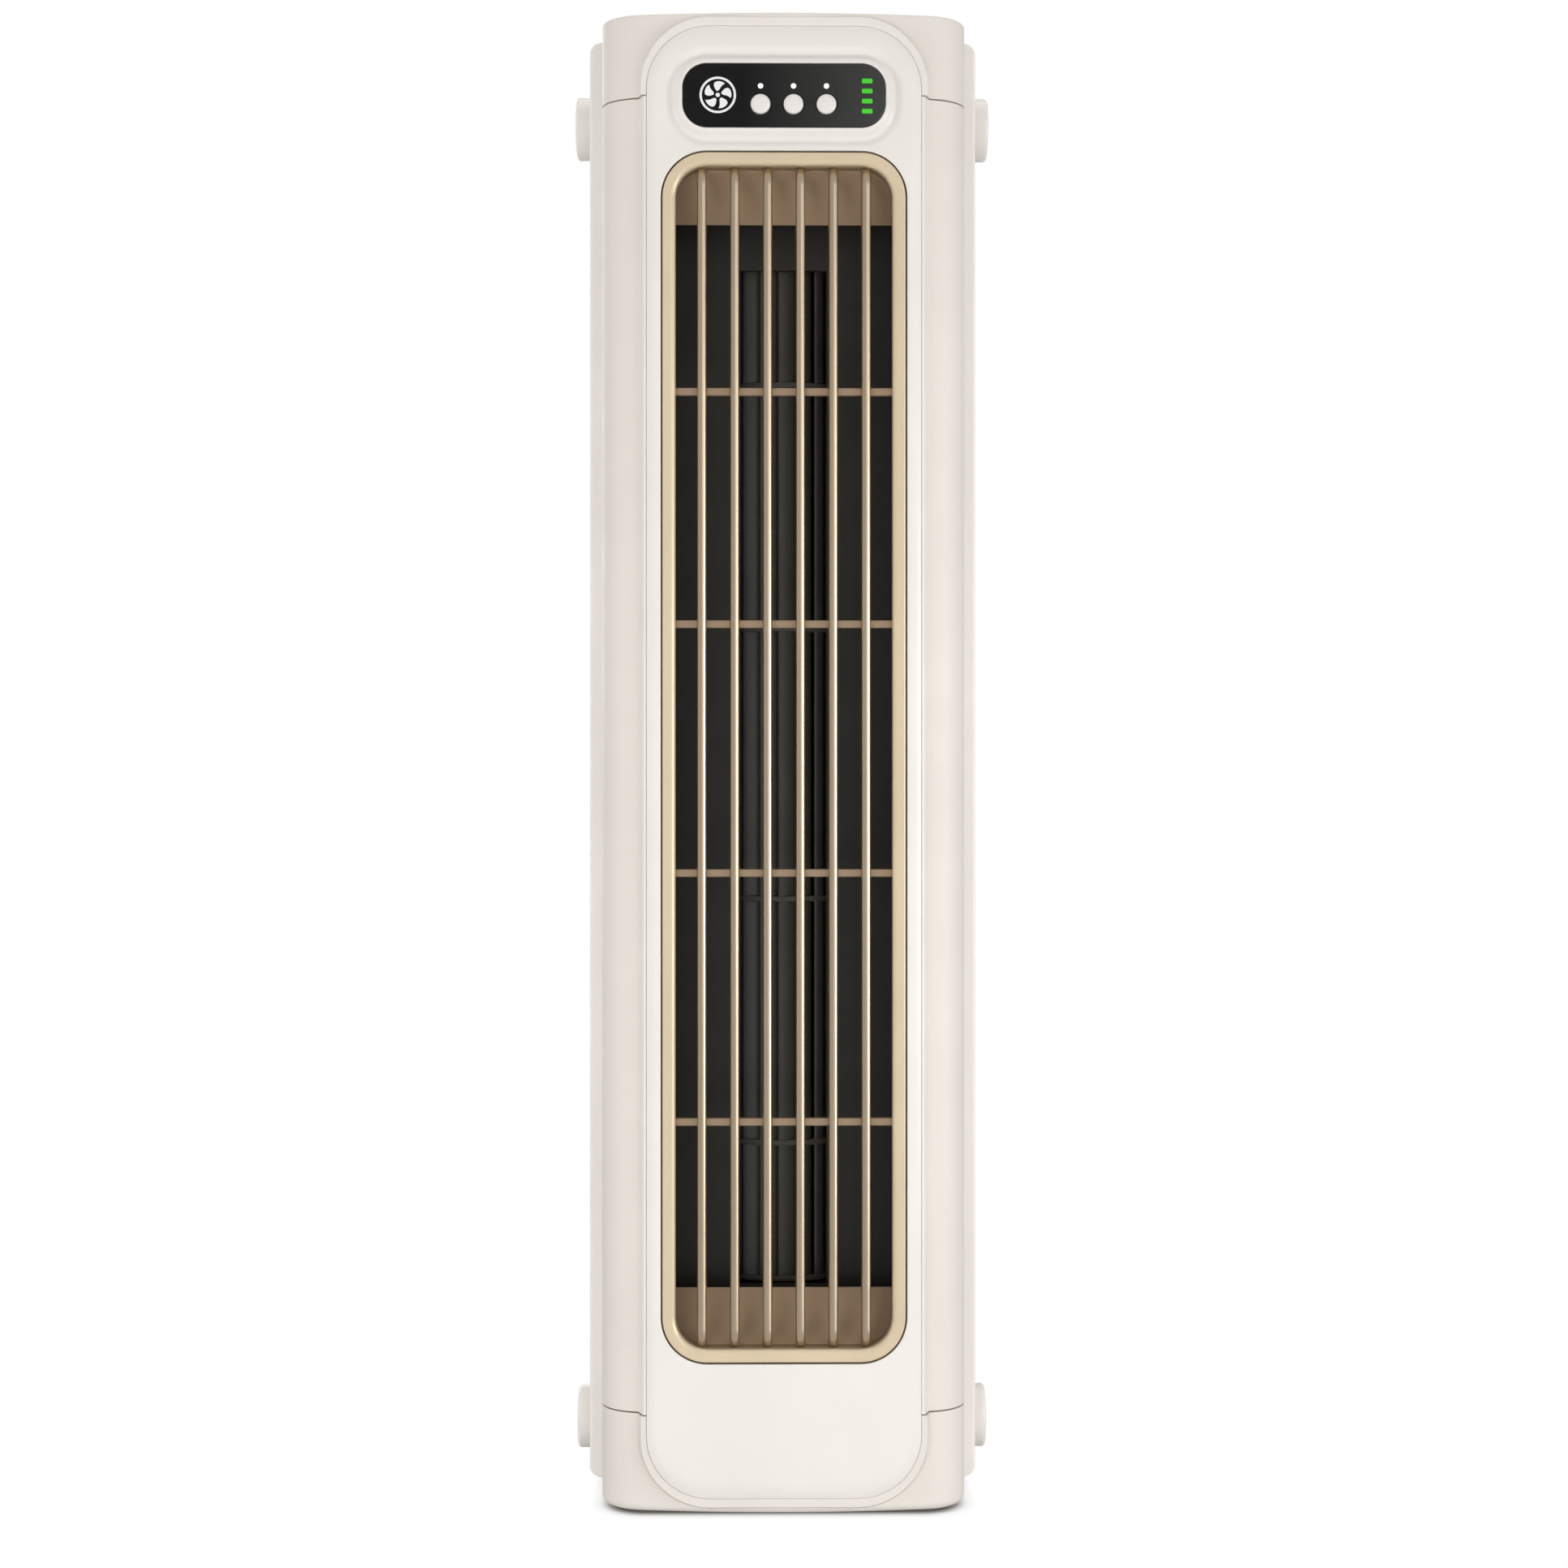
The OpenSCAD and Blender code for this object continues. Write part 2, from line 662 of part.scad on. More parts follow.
// One impeller blade, seen from above: a forward-curved arc that meets the wheel's rim square on and
// lies across the wheel at its inner end
module blade_plan() {
  blade_bow = 4.7;
  blade_t = 0.8;
  root_x = impeller_r - 0.1 - blade_bow - blade_t / 2;
  translate([root_x, 0]) intersection() {
    difference() {
      circle(blade_bow + blade_t / 2);
      circle(blade_bow - blade_t / 2);
    }
    square(blade_bow + blade_t);
  }
}

module impeller() {
  color(soot) difference() {
    union() {
      translate([0, axis_y, impeller_z0]) linear_extrude(impeller_z1 - impeller_z0)
        for (i = [0:blades - 1]) rotate(i * 360 / blades + wheel_turn) blade_plan();
      for (z = disc_z) translate([0, axis_y, z]) difference() {
        cylinder(h = disc_t, r = impeller_r);
        if (z > disc_z[0] && z < disc_z[len(disc_z) - 1])
          translate([0, 0, -over]) cylinder(h = disc_t + 2 * over, r = impeller_r - disc_w);
      }
      rod_z(0, axis_y, 5, impeller_z1 - stub_len, impeller_z1);
    }
    rod_z(0, axis_y, stub_r, impeller_z1 - stub_len - over, impeller_z1 + over);
    rod_z(0, axis_y, hub_r, impeller_z0 - over, impeller_z0 + disc_t + 0.1);
  }
}

module impeller_shaft() {
  color(steel) rod_z(0, axis_y, stub_r, impeller_z1 - stub_len, bearing_plate_z + 6);
}

module top_bush() {
  color(bronze) difference() {
    rod_z(0, axis_y, bush_r, bearing_plate_z - 1, bearing_plate_z + 5);
    rod_z(0, axis_y, stub_r + play, bearing_plate_z - 2, bearing_plate_z + 6);
  }
}

module bush_holder() {
  color(dark_rubber) difference() {
    union() {
      rod_z(0, axis_y, boss_hole_r, bearing_plate_z - 0.5, bearing_plate_z + plate_t + lap);
      rod_z(0, axis_y, boss_hole_r + 1.5, bearing_plate_z + plate_t, bearing_plate_z + 4.2);
    }
    rod_z(0, axis_y, bush_r, bearing_plate_z - 2, bearing_plate_z + 6);
  }
}

module drive_hub() {
  color(dark_rubber) difference() {
    rod_z(0, axis_y, hub_r, hub_z0, impeller_z0 + disc_t);
    rod_z(0, axis_y, motor_shaft_r, hub_z0 - over, impeller_z0 - 1);
  }
}

module motor_shaft() {
  color(steel) rod_z(0, axis_y, motor_shaft_r, motor_z0 + 1.4, impeller_z0 - 1);
}

module motor_rotor() {
  color([0.22, 0.22, 0.25]) difference() {
    rod_z(0, axis_y, 8, motor_z0 + 5.5, motor_z1 - 5.5);
    rod_z(0, axis_y, motor_shaft_r, motor_z0, motor_z1);
  }
}

module motor_stator() {
  slots = 6;
  stack_h = motor_z1 - motor_z0 - 11;
  color(bronze) translate([0, axis_y, motor_z0 + 5.5]) linear_extrude(stack_h) difference() {
    circle(motor_r - 1.2);
    circle(8.5);
    for (i = [0:slots - 1]) rotate(i * 360 / slots) translate([10.9, 0]) circle(1.5);
  }
}

module motor_can() {
  color(steel) difference() {
    rod_z(0, axis_y, motor_r, motor_z0, motor_z1);
    rod_z(0, axis_y, motor_r - 1.1, motor_z0 + 1.2, motor_z1 - 1.2);
    rod_z(0, axis_y, 3, motor_z1 - 2, motor_z1 + over);
  }
}

module motor_bearings() {
  color(steel) for (z = [motor_z0 + 1.3, motor_z1 - 1.3 - bearing_h]) difference() {
    rod_z(0, axis_y, bearing_r, z, z + bearing_h);
    rod_z(0, axis_y, motor_shaft_r + play, z - over, z + bearing_h + over);
  }
}

module motor_bracket() {
  color(steel) difference() {
    translate([0, axis_y, motor_z1]) linear_extrude(bracket_t) difference() {
      union() {
        circle(motor_r);
        square([2 * motor_hole[0] + 9, 2 * motor_hole[1] + 9], center = true);
      }
      circle(7.5);
    }
    both_sides() for (step = [-1, 1])
      rod_z(motor_hole[0], axis_y + step * motor_hole[1], motor_screw_r + 0.1, motor_z1 - over, motor_z1 + 3);
  }
}

module motor_dampers() {
  color(dark_rubber) both_sides() for (step = [-1, 1]) difference() {
    rod_z(motor_hole[0], axis_y + step * motor_hole[1], 4, motor_z1 + bracket_t, motor_plate_z);
    rod_z(motor_hole[0], axis_y + step * motor_hole[1], motor_screw_r + 0.1, motor_z1, motor_plate_z + over);
  }
}

module motor_screws() {
  color(steel) both_sides() for (step = [-1, 1])
    screw_z(motor_hole[0], axis_y + step * motor_hole[1], motor_z1, motor_screw_r, 5.5, 2.8, 1.8);
}

module display_panel() {
  color(coal) difference() {
    front_extrude(panel_y, panel_y + panel_t) round_rect(panel_w, panel_h, panel_r, panel_z);
    panel_holes(button_gap);
  }
}

// White ring with five curved blades, printed on the panel
module fan_symbol() {
  petals = 5;
  color("white") front_extrude(panel_y - 0.12, panel_y) translate([symbol_x, panel_z]) {
    difference() {
      circle(symbol_r);
      circle(symbol_r - 0.5);
    }
    circle(0.55);
    for (i = [0:petals - 1]) rotate(i * 360 / petals) intersection() {
      translate([0.9, 2.0]) circle(1.7);
      translate([-0.5, 2.3]) circle(1.5);
    }
  }
}

module indicator_lights() {
  color("white") for (x = button_x) rod_y(x, dot_z, dot_r, panel_y - light_proud, pod_floor_y);
}

module level_lights() {
  color(leaf_green) front_extrude(panel_y - light_proud, pod_floor_y) level_bars();
}

// A domed button with a flange behind the bezel's floor and a short stem
module push_button(x) {
  dome_r = 6.5;
  r = button_d / 2;
  color(ivory) {
    intersection() {
      rod_y(x, button_z, r, crown_y, pod_floor_y + 0.4);
      translate([x, crown_y + dome_r, button_z]) sphere(dome_r, $fn = 96);
    }
    rod_y(x, button_z, r + flange_w, pod_floor_y + 0.3, pod_floor_y + 1.1);
    rod_y(x, button_z, stem_r, pod_floor_y + 1, board_y - switch_h - 0.3 - button_travel);
  }
}

module power_button() { push_button(button_x[0]); }
module speed_button() { push_button(button_x[1]); }
module timer_button() { push_button(button_x[2]); }

module control_board() {
  color(circuit_green) difference() {
    front_extrude(board_y, board_y + board_t) round_rect(pocket_w - 0.6, pocket_h - 0.6, 1, panel_z);
    both_sides() for (step = [-1, 1])
      rod_y(board_post[0], panel_z + step * board_post[1], 1, board_y - over, board_y + 3);
  }
}

module tact_switches() {
  color(soot) for (x = button_x) {
    block([x - 3, board_y - 2.4, button_z - 3], [x + 3, board_y, button_z + 3]);
    rod_y(x, button_z, 1.5, board_y - switch_h, board_y - 2.3);
  }
}

module board_screws() {
  color(steel) both_sides() for (step = [-1, 1])
    screw_y(board_post[0], panel_z + step * board_post[1], board_y + board_t, 0.9, 4.6, 1.8, 1.1);
}

module battery_cells() {
  color([0.16, 0.36, 0.62]) for (y = cell_y) {
    rod_x(y, cell_z, cell_r, -cell_len / 2, cell_len / 2 - 1.5);
    rod_x(y, cell_z, 3.2, cell_len / 2 - 1.6, cell_len / 2);
  }
}

module battery_holder() {
  color(soot) difference() {
    block([-36, cell_y[0] - cell_r - 0.6, floor_z], [36, cell_y[1] + cell_r + 0.6, cell_z]);
    for (y = cell_y) rod_x(y, cell_z, cell_r, -cell_len / 2, cell_len / 2);
  }
}

module charge_board() {
  color(circuit_green) block([-12, 24, charge_z], [12, 39, charge_z + board_t]);
}

module usb_socket() {
  color(steel) difference() {
    front_extrude(back_y - 8, back_y - 0.1) round_rect(usb[0], usb[1], 1.5, usb_z);
    front_extrude(back_y - 7.4, back_y + over) difference() {
      round_rect(usb[0] - 2 * usb_wall, usb[1] - 2 * usb_wall, 1.2, usb_z);
      round_rect(6.6, 0.7, 0.3, usb_z, $fn = 24);
    }
  }
}

// Flat cable from the control board, down beside the duct, to the charging board, with its two plugs
module ribbon_cable() {
  thin = 0.8;
  wide = 5;
  x = duct_x + duct_t + 0.6;
  y = nose_y + 10;
  high = panel_z - 8;
  low = charge_z + 4.2;
  end_y = 30.7;
  plug_x = 15; // start of the plug on the control board
  color([0.62, 0.60, 0.58]) {
    block([plug_x, y, high], [x + thin, y + thin, high + wide]);
    block([x, y, low], [x + thin, y + wide, high + wide]);
    block([x, y, low], [x + thin, end_y + thin, low + wide]);
    block([10, end_y, low], [x + thin, end_y + thin, low + wide]);
    block([plug_x, board_y + board_t, high], [plug_x + 7, y + 0.1, high + wide]);
    block([8, end_y - 1.6, charge_z + board_t], [11, end_y + 2.4, low + wide]);
  }
}

// Outline of an arm in Y and Z: two round ends and the straight edges that touch both
module arm_outline(from, to) {
  run = to - from;
  lean = atan2(run[1], run[0]);
  open = acos((eye_r - tip_r) / norm(run));
  translate(from) circle(eye_r);
  translate(to) circle(tip_r);
  polygon([for (side = [-1, 1]) for (end = side > 0 ? [1, 0] : [0, 1])
    (end == 1 ? to : from)
      + (end == 1 ? tip_r : eye_r) * [cos(lean + side * open), sin(lean + side * open)]]);
}

// A folded bail: two arms beside the tub and a crossbar behind it, rising by rise
module bail(z, rise) {
  tip_y = depth / 2 - tip_r;
  difference() {
    union() {
      both_sides() side_extrude(arm_x0, arm_x1) arm_outline([pivot_y, z], [tip_y, z + rise]);
      side_extrude(-arm_x1, arm_x1) intersection() {
        translate([tip_y, z + rise]) circle(tip_r);
        translate([depth / 2 - bar_t, z + rise - tip_r]) square(2 * tip_r);
      }
    }
    both_sides() rod_x(pivot_y, z, pin_r, arm_x0 - over, arm_x1 + over);
  }
}

module carry_handle() { color(cream) bail(handle_z, -bail_rise); }
module rear_stand() { color(cream) bail(stand_z, bail_rise); }

// A round knob outside an arm, whose pin runs through the arm and the housing's boss
module knob(z, span) {
  rim_r = 1;
  color(cream) difference() {
    union() {
      rod_x(pivot_y, z, knob_r, arm_x1, span / 2 - rim_r);
      rod_x(pivot_y, z, knob_r - rim_r, span / 2 - rim_r - 0.1, span / 2);
      translate([span / 2 - rim_r, pivot_y, z]) rotate([0, 90, 0]) rotate_extrude()
        translate([knob_r - rim_r, 0]) circle(rim_r);
      rod_x(pivot_y, z, pin_r, pin_end_x, arm_x1 + 0.1);
    }
    rod_x(pivot_y, z, pin_bore_r, pin_end_x - over, arm_x1);
  }
}

module handle_knob_left() { mirror([1, 0, 0]) knob(handle_z, handle_knob_span); }
module handle_knob_right() { knob(handle_z, handle_knob_span); }
module stand_knob_left() { mirror([1, 0, 0]) knob(stand_z, stand_knob_span); }
module stand_knob_right() { knob(stand_z, stand_knob_span); }

// Screws from inside the housing that hold a pair of knobs
module knob_screws(z) {
  color(steel) both_sides() {
    rod_x(pivot_y, z, 4.4, pin_end_x - 1.4, pin_end_x);
    rod_x(pivot_y, z, pin_bore_r, pin_end_x - lap, arm_x1);
  }
}

module handle_screws() { knob_screws(handle_z); }
module stand_screws() { knob_screws(stand_z); }

module pivot_washers() {
  color(dark_rubber) both_sides() for (z = [handle_z, stand_z]) difference() {
    rod_x(pivot_y, z, washer_r, tub_w / 2, arm_x0 - 0.3);
    rod_x(pivot_y, z, pin_r + 0.4, tub_w / 2 - over, arm_x0);
  }
}

front_shell();
top_cap();
base_cap();
rear_shell();
shell_screws();
rubber_feet();
front_bezel();
outlet_grille();
upper_baffle();
lower_baffle();
intake_grille();
dust_filter();
air_duct();
duct_screws();
scroll_wall();
stabiliser();
impeller();
impeller_shaft();
top_bush();
bush_holder();
drive_hub();
motor_shaft();
motor_rotor();
motor_stator();
motor_can();
motor_bearings();
motor_bracket();
motor_dampers();
motor_screws();
display_panel();
fan_symbol();
indicator_lights();
level_lights();
power_button();
speed_button();
timer_button();
control_board();
tact_switches();
board_screws();
battery_cells();
battery_holder();
charge_board();
usb_socket();
ribbon_cable();
carry_handle();
handle_knob_left();
handle_knob_right();
handle_screws();
rear_stand();
stand_knob_left();
stand_knob_right();
stand_screws();
pivot_washers();
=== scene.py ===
"""The looks of a portable tower fan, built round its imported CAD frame.

Lengths are millimetres in the CAD frame: X to the right, Y to the back, Z up. Shape turns them into
metres when it makes a mesh.
"""
from math import acos, asin, atan, atan2, copysign, cos, degrees, hypot, pi, radians, sin, sqrt

import bmesh
import bpy
from mathutils import Color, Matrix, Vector
from mathutils.geometry import interpolate_bezier, tessellate_polygon


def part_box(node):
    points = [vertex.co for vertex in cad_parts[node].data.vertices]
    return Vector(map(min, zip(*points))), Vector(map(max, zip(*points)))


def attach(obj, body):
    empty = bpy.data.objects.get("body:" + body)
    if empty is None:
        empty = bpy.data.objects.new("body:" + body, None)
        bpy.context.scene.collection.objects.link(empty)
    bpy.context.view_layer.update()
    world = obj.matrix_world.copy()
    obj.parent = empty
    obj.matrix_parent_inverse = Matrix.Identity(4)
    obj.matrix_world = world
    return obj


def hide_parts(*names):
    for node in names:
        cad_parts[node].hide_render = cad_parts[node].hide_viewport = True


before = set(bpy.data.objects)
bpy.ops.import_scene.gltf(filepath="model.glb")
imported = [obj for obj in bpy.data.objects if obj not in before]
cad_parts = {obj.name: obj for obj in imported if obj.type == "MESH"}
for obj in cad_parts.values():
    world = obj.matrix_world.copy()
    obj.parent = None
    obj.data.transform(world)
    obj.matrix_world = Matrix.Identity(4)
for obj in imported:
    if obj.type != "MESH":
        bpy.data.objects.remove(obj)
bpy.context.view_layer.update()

MM = 0.001
HOUSING = "housing"


def span(node):
    """Lowest and highest corner of a CAD node, in millimetres."""
    low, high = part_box(node)
    return low / MM, high / MM


def middle(node):
    """Centre of a CAD node's box, in millimetres."""
    low, high = span(node)
    return (low + high) / 2


def face_box(node):
    """Both corners of a node centred on X, and the middle height and half sizes of its face."""
    low, high = span(node)
    return low, high, (low.z + high.z) / 2, (high.x, (high.z - low.z) / 2)


# ---- Sizes that the frame gives, and the roundings that its boxes don't show ----

BOW_R = 260.0  # bow of the front face, seen from above
CORNER_R = 11.5  # upright front corners, seen from above
WALL = 2.2
FLOOR_T = 2.6
ROOF_T = 2.4
BASE_EDGE = 2.0
TOP_EDGE = 0.8
LIP_PROUD = 0.8  # in front of the foremost point of the bow
LIP_W = 1.4  # beside the bezel
LIP_END_W = 2.1  # above and below it
LID_RIM = 0.8  # from a cap's rounding to its flat lid
SEAM = 0.3
REAR_CORNER = 8.0
COLLAR_CORNER = 3.0
COLLAR_BACK_Y = 3.2
COLLAR_LIFT = 1.6  # of its lower end

FRONT_HALF = span("base_cap")[1].x
FOOT_H = span("base_cap")[0].z
TOP_Z = span("top_cap")[1].z
CAP_BACK_Y = span("base_cap")[1].y
SHELL_LOW, SHELL_HIGH = span("front_shell")
LIP_Y = SHELL_LOW.y
NOSE_Y = LIP_Y + LIP_PROUD
BOW_Y = NOSE_Y + BOW_R
FLOOR_Z = FOOT_H + FLOOR_T
ROOF_Z = TOP_Z - ROOF_T
SKIRT_Y = -5.0  # back edge of the front shell

COLLAR_HALF = span("rear_shell")[1].x
SPLIT_Y = span("rear_shell")[0].y
BACK_Y = span("rear_shell")[1].y
REAR_MOUTH = FRONT_HALF + 0.15  # half width of the rear shell's opening
TUB_HALF = span("pivot_washers")[1].x - 0.4  # a washer's thickness inside its outer face

BEZEL_MID, BEZEL_HALF = face_box("front_bezel")[2:]
BEZEL_R = 16.0
GRILLE_LOW, GRILLE_HIGH, GRILLE_MID, GRILLE_HALF = face_box("outlet_grille")
GRILLE_R = 11.3
GRILLE_RIM = 3.3
BAFFLE_GAP = 3.1  # from the grille's ends to the baffles
GRILLE_GAP = 0.35  # between the grille and the bezel
FACE_Y = GRILLE_LOW.y
PANEL_LOW, PANEL_HIGH, PANEL_MID, PANEL_HALF = face_box("display_panel")
PANEL_R = 6.1
POD_GAP = 2.6  # from the panel to the edge of its opening in the shells
BUTTONS = ("power_button", "speed_button", "timer_button")

SCREW_HALF_X = 39.5
SHELL_SCREWS = [(side * SCREW_HALF_X, z) for side in (1, -1) for z in (40, 190, 340)]
SCREW_R = 1.5
WELL_R = 3.1  # of the wells over the housing screws
SCREW_SEAT_Y = 12.0
PIN_BORE_R = 3.15  # for the pins of the handle and the stand
CUT_IN, CUT_OUT = 6, 2  # how far a cutter reaches in from the rear shell's face, and out of it
EYE_R, TIP_R = 7.6, 5.6  # ends of the arms of the handle and the stand
CROSS_BARS = (99.2, 162.3, 225.4, 284.3)  # heights of the grille's cross bars
DISCS = (52, 88.2, 153.2, 225.2, 290.2, 326.4)  # heights of the impeller's discs


# ---- Outlines ----

def arc(cx, cy, r, start, end, steps):
    """Points along an arc, from one angle to another in degrees."""
    angles = [radians(start + (end - start) * k / steps) for k in range(steps + 1)]
    return [(cx + r * cos(a), cy + r * sin(a)) for a in angles]


def quarter(steps=6):
    """Pairs (run, rise), both from 0 to 1, of a rounding that starts along a wall."""
    angles = [pi / 2 * k / steps for k in range(steps + 1)]
    return [(1 - cos(a), sin(a)) for a in angles]


def round_rect(half_w, half_h, r, cx=0.0, cy=0.0, steps=10):
    """Closed outline of a rounded rectangle, anticlockwise from its right side."""
    points = []
    for turn, (sx, sy) in enumerate(((1, 1), (-1, 1), (-1, -1), (1, -1))):
        centre = (cx + sx * (half_w - r), cy + sy * (half_h - r))
        points += arc(*centre, r, 90 * turn, 90 * turn + 90, steps)
    return points


def facing(points, y):
    """An outline in X and Z, placed at depth y."""
    return [(x, y, z) for x, z in points]


def face_ring(half, r, mid_z, grow, y, steps=14):
    """A rounded rectangle at depth y, grown on all sides."""
    return facing(round_rect(half[0] + grow, half[1] + grow, r + grow, 0, mid_z, steps), y)


def front_plan(inset, back_y):
    """Plan of the bowed front housing, from its right rear edge round to its left one."""
    corner_x = FRONT_HALF - CORNER_R
    corner_y = BOW_Y - sqrt((BOW_R - CORNER_R) ** 2 - corner_x ** 2)
    lean = degrees(asin(corner_x / (BOW_R - CORNER_R)))
    half = FRONT_HALF - inset
    side = [back_y + (corner_y - back_y) * k / 3 for k in range(3)]
    plan = [(half, y) for y in side]
    plan += arc(corner_x, corner_y, CORNER_R - inset, 0, lean - 90, 10)
    plan += arc(0, BOW_Y, BOW_R - inset, lean - 90, -lean - 90, 24)[1:-1]
    plan += arc(-corner_x, corner_y, CORNER_R - inset, -lean - 90, -180, 10)
    return plan + [(-half, y) for y in reversed(side)]


# ---- Mesh building ----

class Shape:
    """Points in millimetres and faces, gathered before they become one mesh."""

    def __init__(self):
        self.points = []
        self.faces = []

    def ring(self, points):
        """Adds points and gives back their numbers."""
        first = len(self.points)
        self.points += [tuple(p) for p in points]
        return list(range(first, len(self.points)))

    def bridge(self, a, b, closed=True):
        """Quads between two rows of points of the same length."""
        for k in range(len(a) if closed else len(a) - 1):
            after = (k + 1) % len(a)
            self.faces.append((a[k], a[after], b[after], b[k]))

    def loft(self, rows, ends="caps"):
        """A skin over closed rows. ends is caps, open, or join for a shape that closes on itself."""
        rings = [self.ring(row) for row in rows]
        for a, b in zip(rings, rings[1:]):
            self.bridge(a, b)
        if ends == "join":
            self.bridge(rings[-1], rings[0])
        if ends == "caps":
            self.faces.append(tuple(reversed(rings[0])))
            self.faces.append(tuple(rings[-1]))
        return rings

    def plate(self, rings):
        """Flat faces inside the first ring and outside the others."""
        loops = [[Vector(self.points[i]) for i in ring] for ring in rings]
        flat = [i for ring in rings for i in ring]
        self.faces += [tuple(flat[i] for i in tri) for tri in tessellate_polygon(loops)]

    def sheet(self, outer, inner, is_hole=None, lid=False):
        """A wall between two grids of points, closed round its edges and holes.

        With a lid, the last row is closed by a plate instead, which reaches to the ends of that row.
        """
        rows = len(outer) - 1
        columns = len(outer[0]) - 1
        front = [self.ring(row) for row in outer]
        back = [self.ring(row) for row in inner]
        solid = {(i, j) for i in range(rows) for j in range(columns) if not (is_hole and is_hole(i, j))}
        for i, j in sorted(solid):
            corners = ((i, j), (i, j + 1), (i + 1, j + 1), (i + 1, j))
            self.faces.append(tuple(front[a][b] for a, b in corners))
            self.faces.append(tuple(back[a][b] for a, b in reversed(corners)))
            beside = ((i - 1, j), (i, j + 1), (i + 1, j), (i, j - 1))
            for side, cell in enumerate(beside):
                if cell in solid or (lid and side == 2 and cell[0] == rows):
                    continue
                (a, b), (c, d) = corners[side], corners[(side + 1) % 4]
                self.faces.append((front[a][b], back[a][b], back[c][d], front[c][d]))
        if lid:
            self.faces.append(tuple(front[-1]))
            self.faces.append(tuple(reversed(back[-1])))
            self.faces.append((front[-1][0], front[-1][-1], back[-1][-1], back[-1][0]))

    def lathe(self, place, profile, ends="open", sides=64):
        """A turned shape. profile holds (distance along the axis, radius)."""
        turns = [2 * pi * k / sides for k in range(sides)]
        rows = [[place(a, r * cos(t), r * sin(t)) for t in turns] for a, r in profile]
        return self.loft(rows, ends)

    def mesh(self, name):
        """The finished mesh, in metres, with its normals outwards."""
        data = bpy.data.meshes.new(name)
        data.from_pydata([Vector(p) * MM for p in self.points], [], self.faces)
        work = bmesh.new()
        work.from_mesh(data)
        bmesh.ops.remove_doubles(work, verts=work.verts, dist=0.0002 * MM)
        loose = [v for v in work.verts if not v.link_faces]
        bmesh.ops.delete(work, geom=loose, context="VERTS")
        bmesh.ops.recalc_face_normals(work, faces=work.faces)
        for face in work.faces:
            face.smooth = True
        work.to_mesh(data)
        work.free()
        return data


def along_x(y, z, turn=1):
    return lambda a, u, v: (turn * a, y + u, z + v)


def along_y(x, z):
    return lambda a, u, v: (x + u, a, z + v)


def along_z(x, y):
    return lambda a, u, v: (x + u, y + v, a)


def through(node):
    centre = middle(node)
    return along_y(centre.x, centre.z)


def stretched(section, *xs):
    """Rows of a section in Y and Z, one at each X."""
    return [[(x, y, z) for y, z in section] for x in xs]


def add_object(shape, name):
    obj = bpy.data.objects.new(name, shape.mesh(name))
    bpy.context.scene.collection.objects.link(obj)
    return obj


def soften(obj, width, steps=2, weld=False):
    """Rounds the sharp edges that are left, and shades flat faces flat."""
    if weld:
        obj.modifiers.new("weld", "WELD").merge_threshold = 0.001 * MM
    if width:
        edge = obj.modifiers.new("edges", "BEVEL")
        edge.width = width * MM
        edge.segments = steps
        edge.limit_method = "ANGLE"
        edge.angle_limit = radians(40)
    shade = obj.modifiers.new("shading", "WEIGHTED_NORMAL")
    shade.weight = 60


def cut(obj, cutter_shape):
    """Takes a closed shape away from an object's mesh."""
    cutter = add_object(cutter_shape, "cutter")
    tool = obj.modifiers.new("cut", "BOOLEAN")
    tool.operation = "DIFFERENCE"
    tool.solver = "EXACT"
    tool.object = cutter
    seen = obj.evaluated_get(bpy.context.evaluated_depsgraph_get())
    data = bpy.data.meshes.new_from_object(seen)
    obj.modifiers.clear()
    obj.data = data
    bpy.data.objects.remove(cutter)


def finish_piece(obj, slot, node, width=0.0, steps=2, body=HOUSING, material=None):
    """Makes an object a visible piece that rides a body and stands for a CAD node."""
    soften(obj, width, steps)
    obj.data.materials.clear()
    obj.data.materials.append(MATERIALS[material or slot])
    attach(obj, body)
    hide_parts(node)


def piece(name, shape, *settings, **options):
    """Makes a shape a visible piece. The settings are those of finish_piece."""
    finish_piece(add_object(shape, name), *settings, **options)


# ---- Materials ----

def linear(rgb):
    """An 8-bit sRGB colour as linear red, green, blue and alpha."""
    return (*Color([c / 255 for c in rgb]).from_srgb_to_scene_linear(), 1.0)


